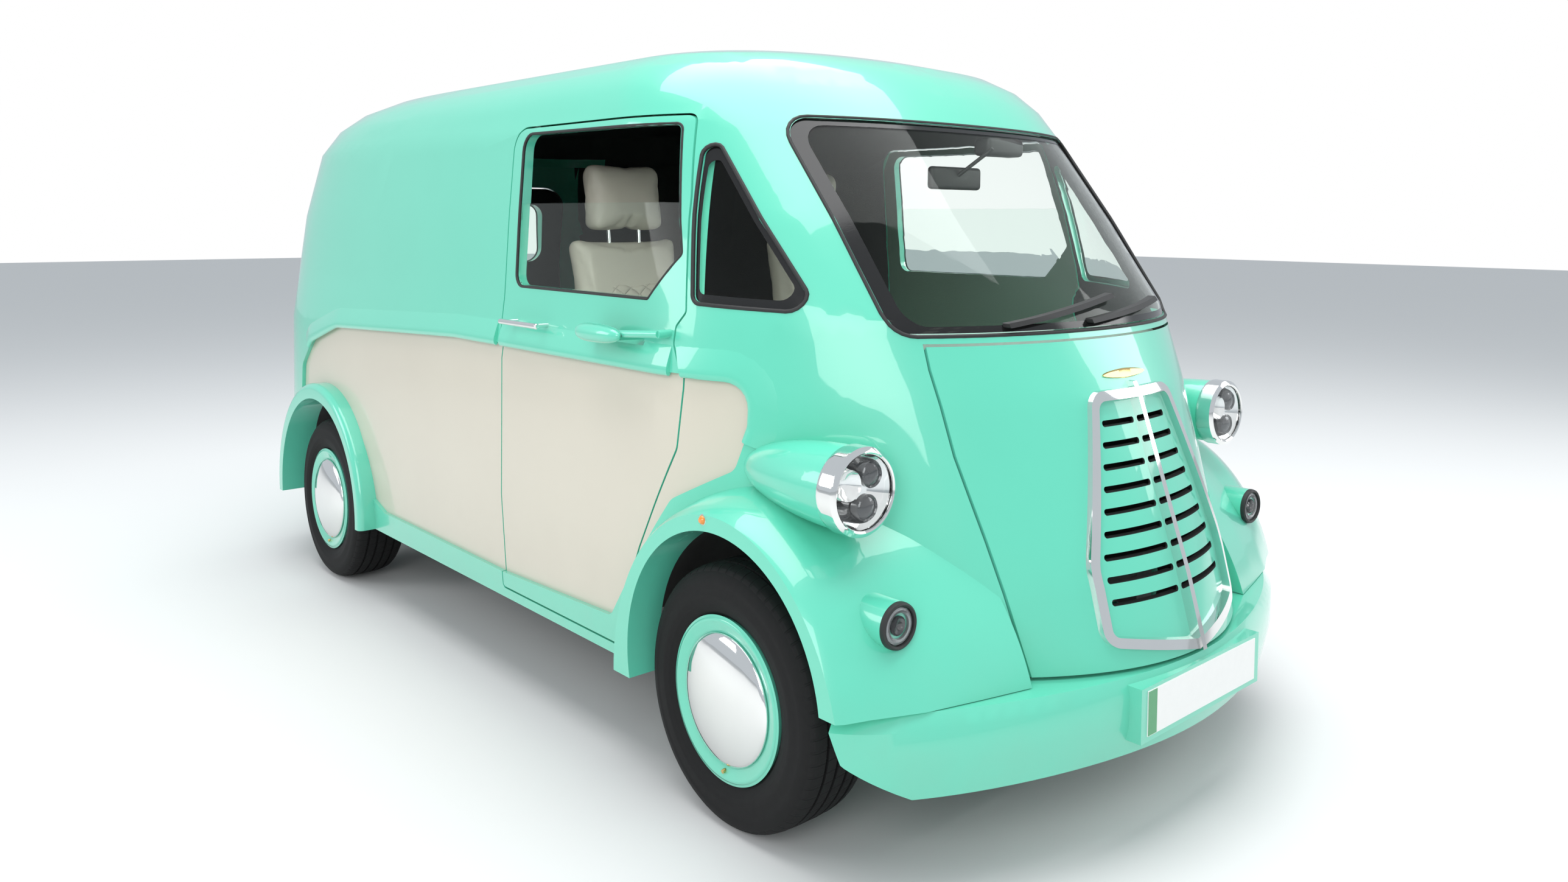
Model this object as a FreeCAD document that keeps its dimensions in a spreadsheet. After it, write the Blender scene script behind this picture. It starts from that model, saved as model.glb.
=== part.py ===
import FreeCAD, Part
import math
import os
from FreeCAD import Vector

doc = FreeCAD.newDocument("panel_van")

# Driving dimensions, in millimetres and degrees. The front of the van faces -Y, its right side -X.
sheet = doc.addObject("Spreadsheet::Sheet", "dimensions")
DIMENSIONS = [
    ("middle_offset", -45.9),
    ("front_axle_place", -1335),
    ("wheelbase", 2772),
    ("tyre_radius", 336),
    ("tyre_width", 215),
    ("wheel_track", 1640),
    ("rim_radius", 205),
    ("wall_thickness", 35),
    ("skin_thickness", 14),
    ("glass_inset", 8),
    ("panel_gap", 6),
    ("sill_height", 300),
    ("roof_seam_height", 1842),
    ("floor_height", 470),
    ("floor_thickness", 20),
    ("front_arch_place", -1363),
    ("front_arch_height", 384),
    ("front_arch_radius", 388),
    ("wing_place", -1361),
    ("rear_arch_place", 1432),
    ("rear_arch_height", 330),
    ("rear_arch_radius", 436),
    ("rear_lip_radius", 489),
    ("lip_reach", 975),
    ("headlamp_spread", 817),
    ("headlamp_height", 913),
    ("headlamp_front", -1724),
    ("headlamp_radius", 104),
    ("sidelamp_spread", 804),
    ("sidelamp_height", 626),
    ("sidelamp_front", -1826),
    ("sidelamp_radius", 54),
    ("bonnet_top", 1222),
    ("bonnet_foot", 448),
    ("louvre_pitch", 52),
    ("louvre_height", 16),
    ("rail_outside", 430),
    ("rail_inside", 350),
    ("rail_bottom", 370),
    ("rail_start", -1700),
    ("rail_end", 2080),
    ("jack_pad_height", 8),
    ("kingpin_spread", 790),
    ("axle_tube_radius", 32),
    ("hub_face", 874),
    ("steering_wheel_radius", 200),
    ("steering_wheel_side", -400),
    ("steering_wheel_place", -960),
    ("steering_wheel_height", 1090),
]
for row, (name, value) in enumerate(DIMENSIONS, start=1):
    sheet.set("A%d" % row, name)
    sheet.set("B%d" % row, str(value))
    sheet.setAlias("B%d" % row, name)
doc.recompute()


def dim(name):
    return float(sheet.get(name))


TYRE_RADIUS = dim("tyre_radius")
WHEEL_X = dim("wheel_track") / 2
RIM_RADIUS = dim("rim_radius")
WALL = dim("wall_thickness")
SKIN = dim("skin_thickness")
GLASS = dim("glass_inset")
GAP = dim("panel_gap")
SILL = dim("sill_height")
FLOOR = dim("floor_height")

# Bounds that lie outside the van on every side.
REACH = 1200
AHEAD = -2400
BEHIND = 2400
ABOVE = 2400

parts = {}


def keep_object(name, item):
    """Names a finished object and centres it along the van."""
    item.Label = name
    item.setExpression("Placement.Base.y", "dimensions.middle_offset")
    parts[name] = item


def keep(name, shape):
    """Gives a finished shape an object of its own and centres it along the van."""
    item = doc.addObject("Part::Feature", name)
    item.Shape = shape
    item.Placement = FreeCAD.Placement()
    keep_object(name, item)


def keep_mirror(name, source):
    """Left-hand twin of a kept object, which is centred already."""
    item = doc.addObject("Part::Mirroring", name)
    item.Source = source
    item.Base = Vector(0, 0, 0)
    item.Normal = Vector(1, 0, 0)
    item.Label = name
    parts[name] = item


def box(x0, x1, y0, y1, z0, z1):
    return Part.makeBox(x1 - x0, y1 - y0, z1 - z0, Vector(x0, y0, z0))


def x_cylinder(radius, x0, x1, y, z):
    return Part.makeCylinder(radius, x1 - x0, Vector(x0, y, z), Vector(1, 0, 0))


def mirrored(shape):
    return shape.mirror(Vector(0, 0, 0), Vector(1, 0, 0))


def both_sides(shape):
    return Part.makeCompound([shape, mirrored(shape)])


def joined(half):
    return half.fuse(mirrored(half))


def largest(shape):
    return max(shape.Solids, key=lambda solid: solid.Volume)


# Plan rings of the body from the sills to the roof: height, half width, front end, where the straight
# side begins, roundness of the front across and along, rear end, where the side ends, rear roundness.
BODY_RINGS = [
    (240, 908, -2165, -1000, 2.3, 1.5, 2195, 1000, 6.0),
    (640, 929, -2050, -1000, 2.3, 1.5, 2215, 1000, 6.2),
    (1080, 921, -1896, -1000, 2.3, 1.6, 2215, 1000, 6.2),
    (1284, 894, -1788, -980, 2.5, 1.85, 2207, 1000, 6.0),
    (1530, 876, -1567, -870, 2.5, 2.15, 2190, 960, 5.4),
    (1800, 850, -1330, -730, 2.6, 2.2, 2125, 860, 4.5),
    (1900, 812, -1243, -680, 2.6, 2.3, 2055, 780, 4.0),
    (1965, 760, -1165, -640, 2.6, 2.3, 1960, 700, 3.5),
    (2010, 685, -1075, -600, 2.6, 2.3, 1830, 600, 3.1),
    (2036, 580, -960, -500, 2.5, 2.3, 1620, 500, 2.8),
    (2046, 430, -820, -400, 2.4, 2.3, 1320, 400, 2.6),
]
INNER_RINGS = [BODY_RINGS[index] for index in (0, 3, 5, 7, 10)]
ROOF_START = 1800
ROOF_TOP = 2046


def handle_share(roundness):
    """How far a cubic curve's handle reaches to pass where a rounded corner of that roundness does."""
    return (8 * 2 ** (-1 / roundness) - 4) / 3


def curve(*poles):
    line = Part.BezierCurve()
    line.setPoles([Vector(*pole) for pole in poles])
    return line.toShape()


def body_ring(ring, inset):
    """Closed right half of one plan ring, drawn in by the inset."""
    height, half, front, side_front, round_across, round_along, rear, side_rear, round_rear = ring
    above = max(0.0, (height - ROOF_START) / (ROOF_TOP - ROOF_START))
    level = height - inset * above
    half -= inset
    front += inset
    rear -= inset
    nose = side_front - front
    tail = rear - side_rear
    back = handle_share(round_rear)
    edges = [curve((0, rear, level), (-half * back, rear, level), (-half, side_rear + tail * back, level),
                   (-half, side_rear, level)),
             Part.makeLine(Vector(-half, side_rear, level), Vector(-half, side_front, level)),
             curve((-half, side_front, level), (-half, side_front - nose * handle_share(round_along), level),
                   (-half * handle_share(round_across), front, level), (0, front, level)),
             Part.makeLine(Vector(0, front, level), Vector(0, rear, level))]
    return Part.Wire(edges)


def body_form(inset, rings=BODY_RINGS):
    """Right half of the body's form, drawn in by the inset."""
    return Part.makeLoft([body_ring(ring, inset) for ring in rings], True, True, False, 3)


def ring_at(height):
    """The body's ring at a height between two of the given ones."""
    for lower, upper in zip(BODY_RINGS, BODY_RINGS[1:]):
        if lower[0] <= height <= upper[0]:
            share = (height - lower[0]) / (upper[0] - lower[0])
            return tuple(first + share * (second - first) for first, second in zip(lower, upper))


def rounded_wire(points, radius, place):
    """Closed outline through the points with its corners rounded to one radius or to one each."""
    edges = []
    count = len(points)
    radii = radius if isinstance(radius, (list, tuple)) else [radius] * count
    starts, ends = [], []
    for index in range(count):
        before = Vector(*points[index - 1], 0)
        corner = Vector(*points[index], 0)
        after = Vector(*points[(index + 1) % count], 0)
        to_before = (before - corner).normalize()
        to_after = (after - corner).normalize()
        half_angle = to_before.getAngle(to_after) / 2
        back = radii[index] / math.tan(half_angle)
        middle = corner + (to_before + to_after).normalize() * (
            radii[index] / math.sin(half_angle) - radii[index])
        starts.append((corner + to_before * back, middle))
        ends.append(corner + to_after * back)
    for index in range(count):
        start, middle = starts[index]
        edges.append(Part.Arc(place(start), place(middle), place(ends[index])).toShape())
        edges.append(Part.makeLine(place(ends[index]), place(starts[(index + 1) % count][0])))
    return Part.Wire(edges)


def side_prism(points, radius, x0, x1, shrink=0.0):
    wire = rounded_wire(points, radius, lambda p: Vector(x0, p.x, p.y))
    if shrink:
        wire = wire.makeOffset2D(-shrink)
    return Part.Face(wire).extrude(Vector(x1 - x0, 0, 0))


def end_prism(points, radius, y0, y1, shrink=0.0):
    wire = rounded_wire(points, radius, lambda p: Vector(p.x, y0, p.y))
    if shrink:
        wire = wire.makeOffset2D(-shrink)
    return Part.Face(wire).extrude(Vector(0, y1 - y0, 0))


# Layers of the skin that the panels are cut from.
outer = body_form(0)
at_glass = body_form(GLASS)
under_skin = body_form(SKIN)
proud_skin = body_form(-SKIN)
inner = body_form(WALL, INNER_RINGS)
glass_layer = at_glass.cut(under_skin)
shell = outer.cut(inner).cut(box(-REACH, 0, AHEAD, BEHIND, 0, SILL))

# Outlines on the side of the van, as (y, z) seen from its right.
DOOR_OUTLINE = [(-1024, 1817), (-1080, 1590), (-1122, 1288), (-1090, 1250), (-1088, 1205), (-1122, 1140),
                (-1126, 1085), (-1106, 930), (-905, 560), (-880, 330), (-131, 330), (-131, 1818)]
DOOR_CORNERS = [35, 300, 20, 20, 30, 40, 60, 60, 60, 12, 20, 80]
DOOR_WINDOW = [(-988, 1786), (-1075, 1440), (-952, 1318), (-206, 1318), (-196, 1792)]
DOOR_WINDOW_CORNERS = [22, 12, 12, 40, 50]
QUARTER_WINDOW = [(-1060, 1780), (-1138, 1316), (-1462, 1303)]
QUARTER_CORNERS = [22, 25, 30]
FLANK_OUTLINE = [(-1300, 900), (-1336, 1010), (-1336, 1131), (195, 1131), (1295, 1084), (1600, 1000),
                 (1745, 880), (1765, 690), (1520, 600), (853, 385), (-144, 383), (-797, 410), (-1100, 800)]
FLANK_CORNERS = [40, 60, 75, 300, 300, 100, 60, 60, 60, 20, 20, 40, 60]
INWARD = -540

# The nose stops above the bumper, and the bonnet is cut out of it between straight shut lines.
BONNET_HALF = [(-556, 1300), (-556, 1165), (-540, 960), (-510, 763), (-468, 440)]
BONNET_OUTLINE = BONNET_HALF + [(-x, z) for x, z in reversed(BONNET_HALF)]
BONNET_CORNER = 8
BONNET_TOP = dim("bonnet_top")
BONNET_FOOT = dim("bonnet_foot")
NOSE_FOOT = BONNET_FOOT - GAP
NOSE_BEHIND = -1500
BUMPER_BEHIND = -1700
nose_cut = box(-REACH, 0, AHEAD, BUMPER_BEHIND, 0, NOSE_FOOT)
bonnet_zone = end_prism(BONNET_OUTLINE, BONNET_CORNER, AHEAD, NOSE_BEHIND).common(
    box(-REACH, REACH, AHEAD, NOSE_BEHIND, 0, BONNET_TOP + GAP))
bonnet_piece = end_prism(BONNET_OUTLINE, BONNET_CORNER, AHEAD, NOSE_BEHIND, GAP).common(
    box(-REACH, REACH, AHEAD, NOSE_BEHIND, BONNET_FOOT, BONNET_TOP))
EDGE_BEVEL = 30
bevel_rings = [body_ring(ring_at(BONNET_TOP - EDGE_BEVEL), EDGE_BEVEL), body_ring(ring_at(BONNET_TOP), 0),
               body_ring(ring_at(BONNET_TOP + EDGE_BEVEL), -EDGE_BEVEL)]
bonnet_bevel = Part.makeLoft(bevel_rings, True, True, False, 3)

# Openings of the right side.
door_zone = side_prism(DOOR_OUTLINE, DOOR_CORNERS, -REACH, INWARD)
door_piece = side_prism(DOOR_OUTLINE, DOOR_CORNERS, -REACH, INWARD, GAP)
door_window = side_prism(DOOR_WINDOW, DOOR_WINDOW_CORNERS, -REACH, INWARD)
quarter_window = side_prism(QUARTER_WINDOW, QUARTER_CORNERS, -REACH, INWARD)
flank_recess = outer.cut(under_skin).common(side_prism(FLANK_OUTLINE, FLANK_CORNERS, -REACH, INWARD))
WING_MIDDLE = dim("wing_place")
front_arch = x_cylinder(dim("front_arch_radius"), -REACH, INWARD, dim("front_arch_place"),
                        dim("front_arch_height"))
rear_arch = x_cylinder(dim("rear_arch_radius"), -REACH, -600, dim("rear_arch_place"), dim("rear_arch_height"))
door_skin = outer.common(door_piece.cut(door_window)).cut(inner).cut(flank_recess)
shell = shell.cut(door_zone).cut(quarter_window).cut(front_arch).cut(rear_arch)
shell = shell.cut(flank_recess).cut(bonnet_zone).cut(nose_cut)

# The windscreen and the side glass fill the openings cut for them; the door glass stands half open.
SCREEN_OUTLINE = [(-616, 1249), (616, 1249), (624, 1806), (-624, 1806)]
SCREEN_CORNERS = [55, 55, 70, 70]
SCREEN_BEHIND = -900
WINDOW_DROP = 210
screen_zone = end_prism(SCREEN_OUTLINE, SCREEN_CORNERS, AHEAD, SCREEN_BEHIND)
shell = shell.cut(screen_zone)
keep("windscreen", joined(glass_layer.common(screen_zone)))
keep("quarter_glass", both_sides(glass_layer.common(quarter_window)))
lowered = box(-REACH, 0, AHEAD, 0, DOOR_WINDOW[0][1] - WINDOW_DROP, ABOVE)
door_glass = glass_layer.common(door_window.cut(lowered))
keep("door_glass_right", door_glass)
keep("door_glass_left", mirrored(door_glass))

# Rear barn doors with a small round-cornered window in each.
REAR_OUTLINE = [(-600, 425), (300, 425), (300, 1690), (-560, 1690)]
REAR_CORNERS = [60, 1, 1, 120]
REAR_WINDOW = [(-470, 1290), (-110, 1290), (-110, 1600), (-450, 1600)]
REAR_WINDOW_CORNER = 70
REAR_AHEAD = 1700
rear_zone = end_prism(REAR_OUTLINE, REAR_CORNERS, REAR_AHEAD, BEHIND)
rear_piece = end_prism(REAR_OUTLINE, REAR_CORNERS, REAR_AHEAD, BEHIND, GAP)
rear_piece = rear_piece.cut(box(-GAP / 2, REACH, REAR_AHEAD, BEHIND, 0, ABOVE))
rear_window = end_prism(REAR_WINDOW, REAR_WINDOW_CORNER, REAR_AHEAD, BEHIND)
rear_door = shell.common(rear_piece).cut(rear_window)
rear_glass = glass_layer.common(rear_window)
shell = shell.cut(rear_zone)
keep("rear_door_right", rear_door)
keep("rear_door_left", mirrored(rear_door))
keep("rear_glass_right", rear_glass)
keep("rear_glass_left", mirrored(rear_glass))

# Rear wheel flares stand out of the sides with a rounded edge; the roof is a panel of its own.
FLARE_ROUND = 24
flare = x_cylinder(dim("rear_lip_radius"), -dim("lip_reach"), -700, dim("rear_arch_place") + 9,
                   dim("rear_arch_height") + 9)
rim_edge = min((edge for edge in flare.Edges if edge.Closed), key=lambda edge: edge.BoundBox.XMin)
flare = flare.makeFillet(FLARE_ROUND, [rim_edge])
flare = flare.cut(rear_arch).cut(box(-REACH, 0, 0, BEHIND, -200, SILL)).cut(inner)
above_seam = box(-REACH, 0, AHEAD, BEHIND, dim("roof_seam_height"), ABOVE)
body_side = shell.cut(above_seam).fuse(flare)
keep("body_side_right", body_side)
keep("body_side_left", mirrored(body_side))
keep("roof_panel", joined(shell.common(above_seam)))

# Front wings: five sections from the outer lip to the foot of the bonnet, as x, reach ahead of the
# wheel, top of the arch, reach behind it and how full the curve is.
WING_FOOT = 300
WING_SECTIONS = [
    (-975, 456, 812, 456, 0.55),
    (-958, 468, 826, 465, 0.55),
    (-900, 490, 850, 466, 0.54),
    (-780, 555, 885, 470, 0.44),
    (-640, 590, 900, 470, 0.48),
    (-500, 625, 905, 470, 0.50),
]


def wing_section(x, ahead, rise, behind, fullness):
    up = (rise - WING_FOOT) * fullness
    front = WING_MIDDLE - ahead
    back = WING_MIDDLE + behind
    edges = [curve((x, front, WING_FOOT), (x, front, WING_FOOT + up),
                   (x, WING_MIDDLE - ahead * fullness, rise), (x, WING_MIDDLE, rise)),
             curve((x, WING_MIDDLE, rise), (x, WING_MIDDLE + behind * fullness, rise),
                   (x, back, WING_FOOT + up), (x, back, WING_FOOT)),
             Part.makeLine(Vector(x, back, WING_FOOT), Vector(x, front, WING_FOOT))]
    return Part.Wire(edges)


def turned(edges, x, z):
    """Solid of revolution about a line along the van; the edges lie in the plane z = 0."""
    solid = Part.Face(Part.Wire(edges)).revolve(Vector(0, 0, 0), Vector(0, 1, 0), 360)
    solid.translate(Vector(x, 0, z))
    return solid


def turned_profile(profile, x, z):
    """Solid of revolution from (y, radius) points, closed along its axis."""
    points = [Vector(0, profile[0][0], 0)] + [Vector(radius, y, 0) for y, radius in profile]
    points += [Vector(0, profile[-1][0], 0), points[0]]
    return turned(Part.makePolygon(points).Edges, x, z)


ROUND = 0.552
POD_LENGTH = 380
BEZEL_DEPTH = 45
LAMP_X = dim("headlamp_spread")
LAMP_Z = dim("headlamp_height")
LAMP_Y = dim("headlamp_front")
LAMP_R = dim("headlamp_radius")
SIDE_X = dim("sidelamp_spread")
SIDE_Z = dim("sidelamp_height")
SIDE_Y = dim("sidelamp_front")
SIDE_R = dim("sidelamp_radius")
pod_front = LAMP_Y + BEZEL_DEPTH
pod_radius = LAMP_R - 4
pod = turned([curve((pod_radius, pod_front, 0), (pod_radius, pod_front + POD_LENGTH * ROUND, 0),
                    (pod_radius * ROUND, pod_front + POD_LENGTH, 0), (0, pod_front + POD_LENGTH, 0)),
              Part.makeLine(Vector(0, pod_front + POD_LENGTH, 0), Vector(0, pod_front, 0)),
              Part.makeLine(Vector(0, pod_front, 0), Vector(pod_radius, pod_front, 0))], -LAMP_X, LAMP_Z)
SIDE_POD = 120
LENS_SEAT = 14
side_pod = Part.makeCylinder(SIDE_R, SIDE_POD, Vector(-SIDE_X, SIDE_Y, SIDE_Z), Vector(0, 1, 0))
side_pod = side_pod.makeFillet(6, [edge for edge in side_pod.Edges if edge.BoundBox.YMax < SIDE_Y + 1])
lens_seat = Part.makeCylinder(SIDE_R - 9, LENS_SEAT, Vector(-SIDE_X, SIDE_Y, SIDE_Z), Vector(0, 1, 0))
wing = Part.makeLoft([wing_section(*section) for section in WING_SECTIONS], True, True, False, 3)
wing = wing.fuse([pod, side_pod]).cut(front_arch).cut(outer).cut(bonnet_zone).cut(lens_seat)
wing = largest(wing.cut(nose_cut))
keep("wing_right", wing)
keep("wing_left", mirrored(wing))

# Headlamps: a chrome ring round a dished bowl, and the clear lenses of both pairs of lamps.
bezel = turned_profile([(pod_front, LAMP_R), (LAMP_Y + 8, LAMP_R), (LAMP_Y, LAMP_R - 12)], -LAMP_X, LAMP_Z)
bowl_space = turned_profile([(LAMP_Y + 40, 40), (LAMP_Y + 12, LAMP_R - 16), (LAMP_Y - 5, LAMP_R - 16)],
                            -LAMP_X, LAMP_Z)
bulb_holder = turned_profile([(LAMP_Y + 39, 26), (LAMP_Y + 22, 20)], -LAMP_X, LAMP_Z)
keep("headlamp_bezels", both_sides(bezel.cut(bowl_space).fuse(bulb_holder)))
lens = turned_profile([(LAMP_Y + 9, LAMP_R - 17), (LAMP_Y + 3, LAMP_R - 17), (LAMP_Y - 4, LAMP_R - 50),
                       (LAMP_Y - 6, 20)], -LAMP_X, LAMP_Z)
side_lens = turned_profile([(SIDE_Y + LENS_SEAT - 1, SIDE_R - 10), (SIDE_Y + 2, SIDE_R - 10),
                            (SIDE_Y - 3, SIDE_R - 26)], -SIDE_X, SIDE_Z)
keep("lamp_lenses", Part.makeCompound([lens, mirrored(lens), side_lens, mirrored(side_lens)]))

# Front bumper: a moulded beam with a ledge that rises to the foot of the bonnet.
BUMPER_RINGS = [  # height, how far the face lies back at the middle and at the ends
    (246, 20, 20),
    (330, 0, 0),
    (406, 0, 4),
    (440, 12, 40),
]
BUMPER_DEPTH = 120
PLATE_FACE = -2123
PLATE_THICKNESS = 3


def bumper_ring(height, back_middle, back_end):
    middle = -2120 + back_middle
    corner = back_end * 0.7
    face = [(0, middle), (-420, middle), (-905 + corner, -1895 + corner), (-968 + back_end, -1745)]
    rear = [(0, middle + BUMPER_DEPTH), (-380, middle + BUMPER_DEPTH), (-800, -1800), (-840, -1745)]
    edges = [curve(*[(x, y, height) for x, y in face]),
             Part.makeLine(Vector(*face[-1], height), Vector(*rear[-1], height)),
             curve(*[(x, y, height) for x, y in reversed(rear)]),
             Part.makeLine(Vector(*rear[0], height), Vector(*face[0], height))]
    return Part.Wire(edges)


bumper = Part.makeLoft([bumper_ring(*ring) for ring in BUMPER_RINGS], True, True, False, 3)
plate_holder = box(-285, 0, PLATE_FACE, -2060, 290, 425)
bumper = bumper.fuse(plate_holder).cut(front_arch).cut(outer.cut(nose_cut))
keep("bumper_front", joined(largest(bumper)))
keep("plate_front", box(-260, 260, PLATE_FACE - PLATE_THICKNESS, PLATE_FACE, 304.5, 415.5))

# Bonnet with the grille opening, the chrome frame with its centre bar, and the louvred panel behind.
GRILLE_OUTLINE = [(-175, 1097), (-304, 690), (-304, 508), (0, 452), (304, 508), (304, 690), (175, 1097)]
GRILLE_CORNERS = [55, 150, 45, 30, 45, 150, 55]
GRILLE_FRAME = 24
BAR_HALF = 9
BAR_PROUD = 22
BAR_TOP = 1112
grille_zone = end_prism(GRILLE_OUTLINE, GRILLE_CORNERS, AHEAD, NOSE_BEHIND)
grille_hole = end_prism(GRILLE_OUTLINE, GRILLE_CORNERS, AHEAD, NOSE_BEHIND, GRILLE_FRAME)
bar_zone = box(-BAR_HALF, 0, AHEAD, NOSE_BEHIND, GRILLE_OUTLINE[3][1], BAR_TOP)
bonnet_skin = outer.cut(under_skin).common(bonnet_piece).cut(bonnet_bevel)
keep("bonnet", joined(bonnet_skin.cut(grille_zone).cut(bar_zone)))
frame_layer = proud_skin.cut(body_form(20))
bar_layer = body_form(-BAR_PROUD).cut(body_form(20))
grille_frame = frame_layer.common(grille_zone.cut(grille_hole)).fuse(bar_layer.common(bar_zone))
keep("grille_frame", joined(grille_frame))

# Nine louvres a side: round-ended slots through the panel, each over a shelf that runs back from its
# lower edge to throw the rain out.
LOUVRES = 9
LOUVRE_PITCH = dim("louvre_pitch")
LOUVRE_HEIGHT = dim("louvre_height")
LOWEST_LOUVRE = 590
LOUVRE_INNER_END = 17
SHELF_DEPTH = 28
SHELF_THICKNESS = 4
slots = []
shelves = []
for index in range(LOUVRES):
    level = LOWEST_LOUVRE + index * LOUVRE_PITCH
    outer_end = 248 - max(0, level + LOUVRE_HEIGHT - 690) * 0.317
    slot = [(-outer_end, level), (-LOUVRE_INNER_END, level), (-LOUVRE_INNER_END, level + LOUVRE_HEIGHT),
            (-outer_end, level + LOUVRE_HEIGHT)]
    slots.append(end_prism(slot, LOUVRE_HEIGHT / 2 - 0.5, AHEAD, NOSE_BEHIND))
    shelves.append(box(-outer_end, -LOUVRE_INNER_END, AHEAD, NOSE_BEHIND, level - SHELF_THICKNESS, level))
louvre_panel = glass_layer.common(grille_hole.cut(bar_zone)).cut(Part.makeCompound(slots))
shelf_layer = at_glass.cut(body_form(SHELF_DEPTH))
keep("grille_louvres", both_sides(louvre_panel.fuse(shelf_layer.common(Part.makeCompound(shelves)))))

# Front doors, each with a drop-shaped mirror on an arm from its corner, and the bar handles.
MIRROR = Vector(-974, -845, 1219)
MIRROR_RADIUS = 27
ARM_END = Vector(-932, -1066, 1231)
ARM_RADIUS = 10
pod_edges = [curve((0, -100, 0), (20, -96, 0), (MIRROR_RADIUS, -50, 0), (MIRROR_RADIUS, 40, 0)),
             curve((MIRROR_RADIUS, 40, 0), (MIRROR_RADIUS, 75, 0), (22, 98, 0), (18, 100, 0)),
             Part.makeLine(Vector(18, 100, 0), Vector(0, 100, 0)),
             Part.makeLine(Vector(0, 100, 0), Vector(0, -100, 0))]
mirror_pod = turned(pod_edges, MIRROR.x, MIRROR.z)
mirror_pod.translate(Vector(0, MIRROR.y, 0))
arm = Part.makeCylinder(ARM_RADIUS, (MIRROR - ARM_END).Length, ARM_END, MIRROR - ARM_END)
arm_foot = x_cylinder(ARM_RADIUS + 1, ARM_END.x - 4, -885, ARM_END.y, ARM_END.z)
door = door_skin.fuse([arm_foot, arm, mirror_pod])
if len(door.Solids) != 1:
    raise RuntimeError("the mirror has come off the door")
keep("door_right", door)
keep("door_left", mirrored(door))
HANDLE_X = -950
HANDLE_Z = 1207
HANDLE_ENDS = (-452, -212)
HANDLE_RADIUS = 9
POST_INSET = 24
bar = Part.makeCylinder(HANDLE_RADIUS, HANDLE_ENDS[1] - HANDLE_ENDS[0],
                        Vector(HANDLE_X, HANDLE_ENDS[0], HANDLE_Z), Vector(0, 1, 0))
bar = bar.makeFillet(5, [edge for edge in bar.Edges if edge.BoundBox.YLength < 1])
posts = [x_cylinder(7, HANDLE_X, -880, y, HANDLE_Z)
         for y in (HANDLE_ENDS[0] + POST_INSET, HANDLE_ENDS[1] - POST_INSET)]
handle = bar.fuse(posts).cut(outer)
keep("door_handle_right", handle)
keep("door_handle_left", mirrored(handle))

# Floor with the housings of the four wheels.
TUB_WALL = 10
TUB_OUTER = -930
floor_layer = inner.common(box(-REACH, 0, -1700, 2060, FLOOR, FLOOR + dim("floor_thickness")))
front_tub = x_cylinder(dim("front_arch_radius") + TUB_WALL, TUB_OUTER, INWARD + TUB_WALL,
                       dim("front_arch_place"), dim("front_arch_height"))
rear_tub = x_cylinder(dim("rear_arch_radius") + TUB_WALL, TUB_OUTER, -590, dim("rear_arch_place"),
                      dim("rear_arch_height"))
tubs = front_tub.fuse(rear_tub).common(inner).cut(box(-REACH, 0, AHEAD, BEHIND, 0, FLOOR))
keep("floor_pan", joined(floor_layer.fuse(tubs).cut(front_arch.fuse(rear_arch))))


def bound(item, rules):
    """Ties an object's sizes and place to the sheet; a bare name stands for a driving dimension."""
    for path, rule in rules.items():
        item.setExpression(path, str(rule))
    return item


def block(label, x, y, z, length, width, height):
    """Box with its near corner and sizes given as numbers or as rules on the driving dimensions."""
    return bound(doc.addObject("Part::Box", label), {
        "Placement.Base.x": x, "Placement.Base.y": y, "Placement.Base.z": z,
        "Length": length, "Width": width, "Height": height})


def rod(label, radius, x, y, z, length):
    """Round bar along X from the given end."""
    item = doc.addObject("Part::Cylinder", label)
    item.Placement = FreeCAD.Placement(Vector(0, 0, 0), FreeCAD.Rotation(Vector(0, 1, 0), 90))
    return bound(item, {"Placement.Base.x": x, "Placement.Base.y": y, "Placement.Base.z": z,
                        "Radius": radius, "Height": length})


def post(label, radius, x, y, z, height):
    return bound(doc.addObject("Part::Cylinder", label), {
        "Placement.Base.x": x, "Placement.Base.y": y, "Placement.Base.z": z,
        "Radius": radius, "Height": height})


def united(label, items):
    item = doc.addObject("Part::MultiFuse", label)
    item.Shapes = items
    return item


def less(label, base, tool):
    item = doc.addObject("Part::Cut", label)
    item.Base = base
    item.Tool = tool
    return item


def group(label, items):
    item = doc.addObject("Part::Compound", label)
    item.Links = items
    return item


# Two frame rails with jacking pads, and the towing eye on a plate that hangs from the right one.
def rail(side, x):
    pads = [block("pad_%s_%d" % (side, y), x, y - 50, "dimensions.rail_bottom - dimensions.jack_pad_height",
                  80, 100, "dimensions.jack_pad_height") for y in (-600, 1000)]
    beam = block("rail_beam_" + side, x, "dimensions.rail_start", "dimensions.rail_bottom", 80,
                 "dimensions.rail_end - dimensions.rail_start",
                 "dimensions.floor_height - dimensions.rail_bottom")
    return [beam] + pads


TOW_PLACE = 2120
TOW_HEIGHT = 262
tow_plate = [block("tow_hanger", -380, 2020, TOW_HEIGHT - 20, 20, 80, 150),
             rod("tow_disc", 38, -380, TOW_PLACE, TOW_HEIGHT, 20)]
right_rail = united("right_rail_blank", rail("right", "-dimensions.rail_outside") + tow_plate)
right_rail = less("right_rail", right_rail, rod("tow_hole", 20, -400, TOW_PLACE, TOW_HEIGHT, 60))
left_rail = united("left_rail", rail("left", "dimensions.rail_inside"))
keep_object("frame_rails", group("frame_rails", [right_rail, left_rail]))

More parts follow.
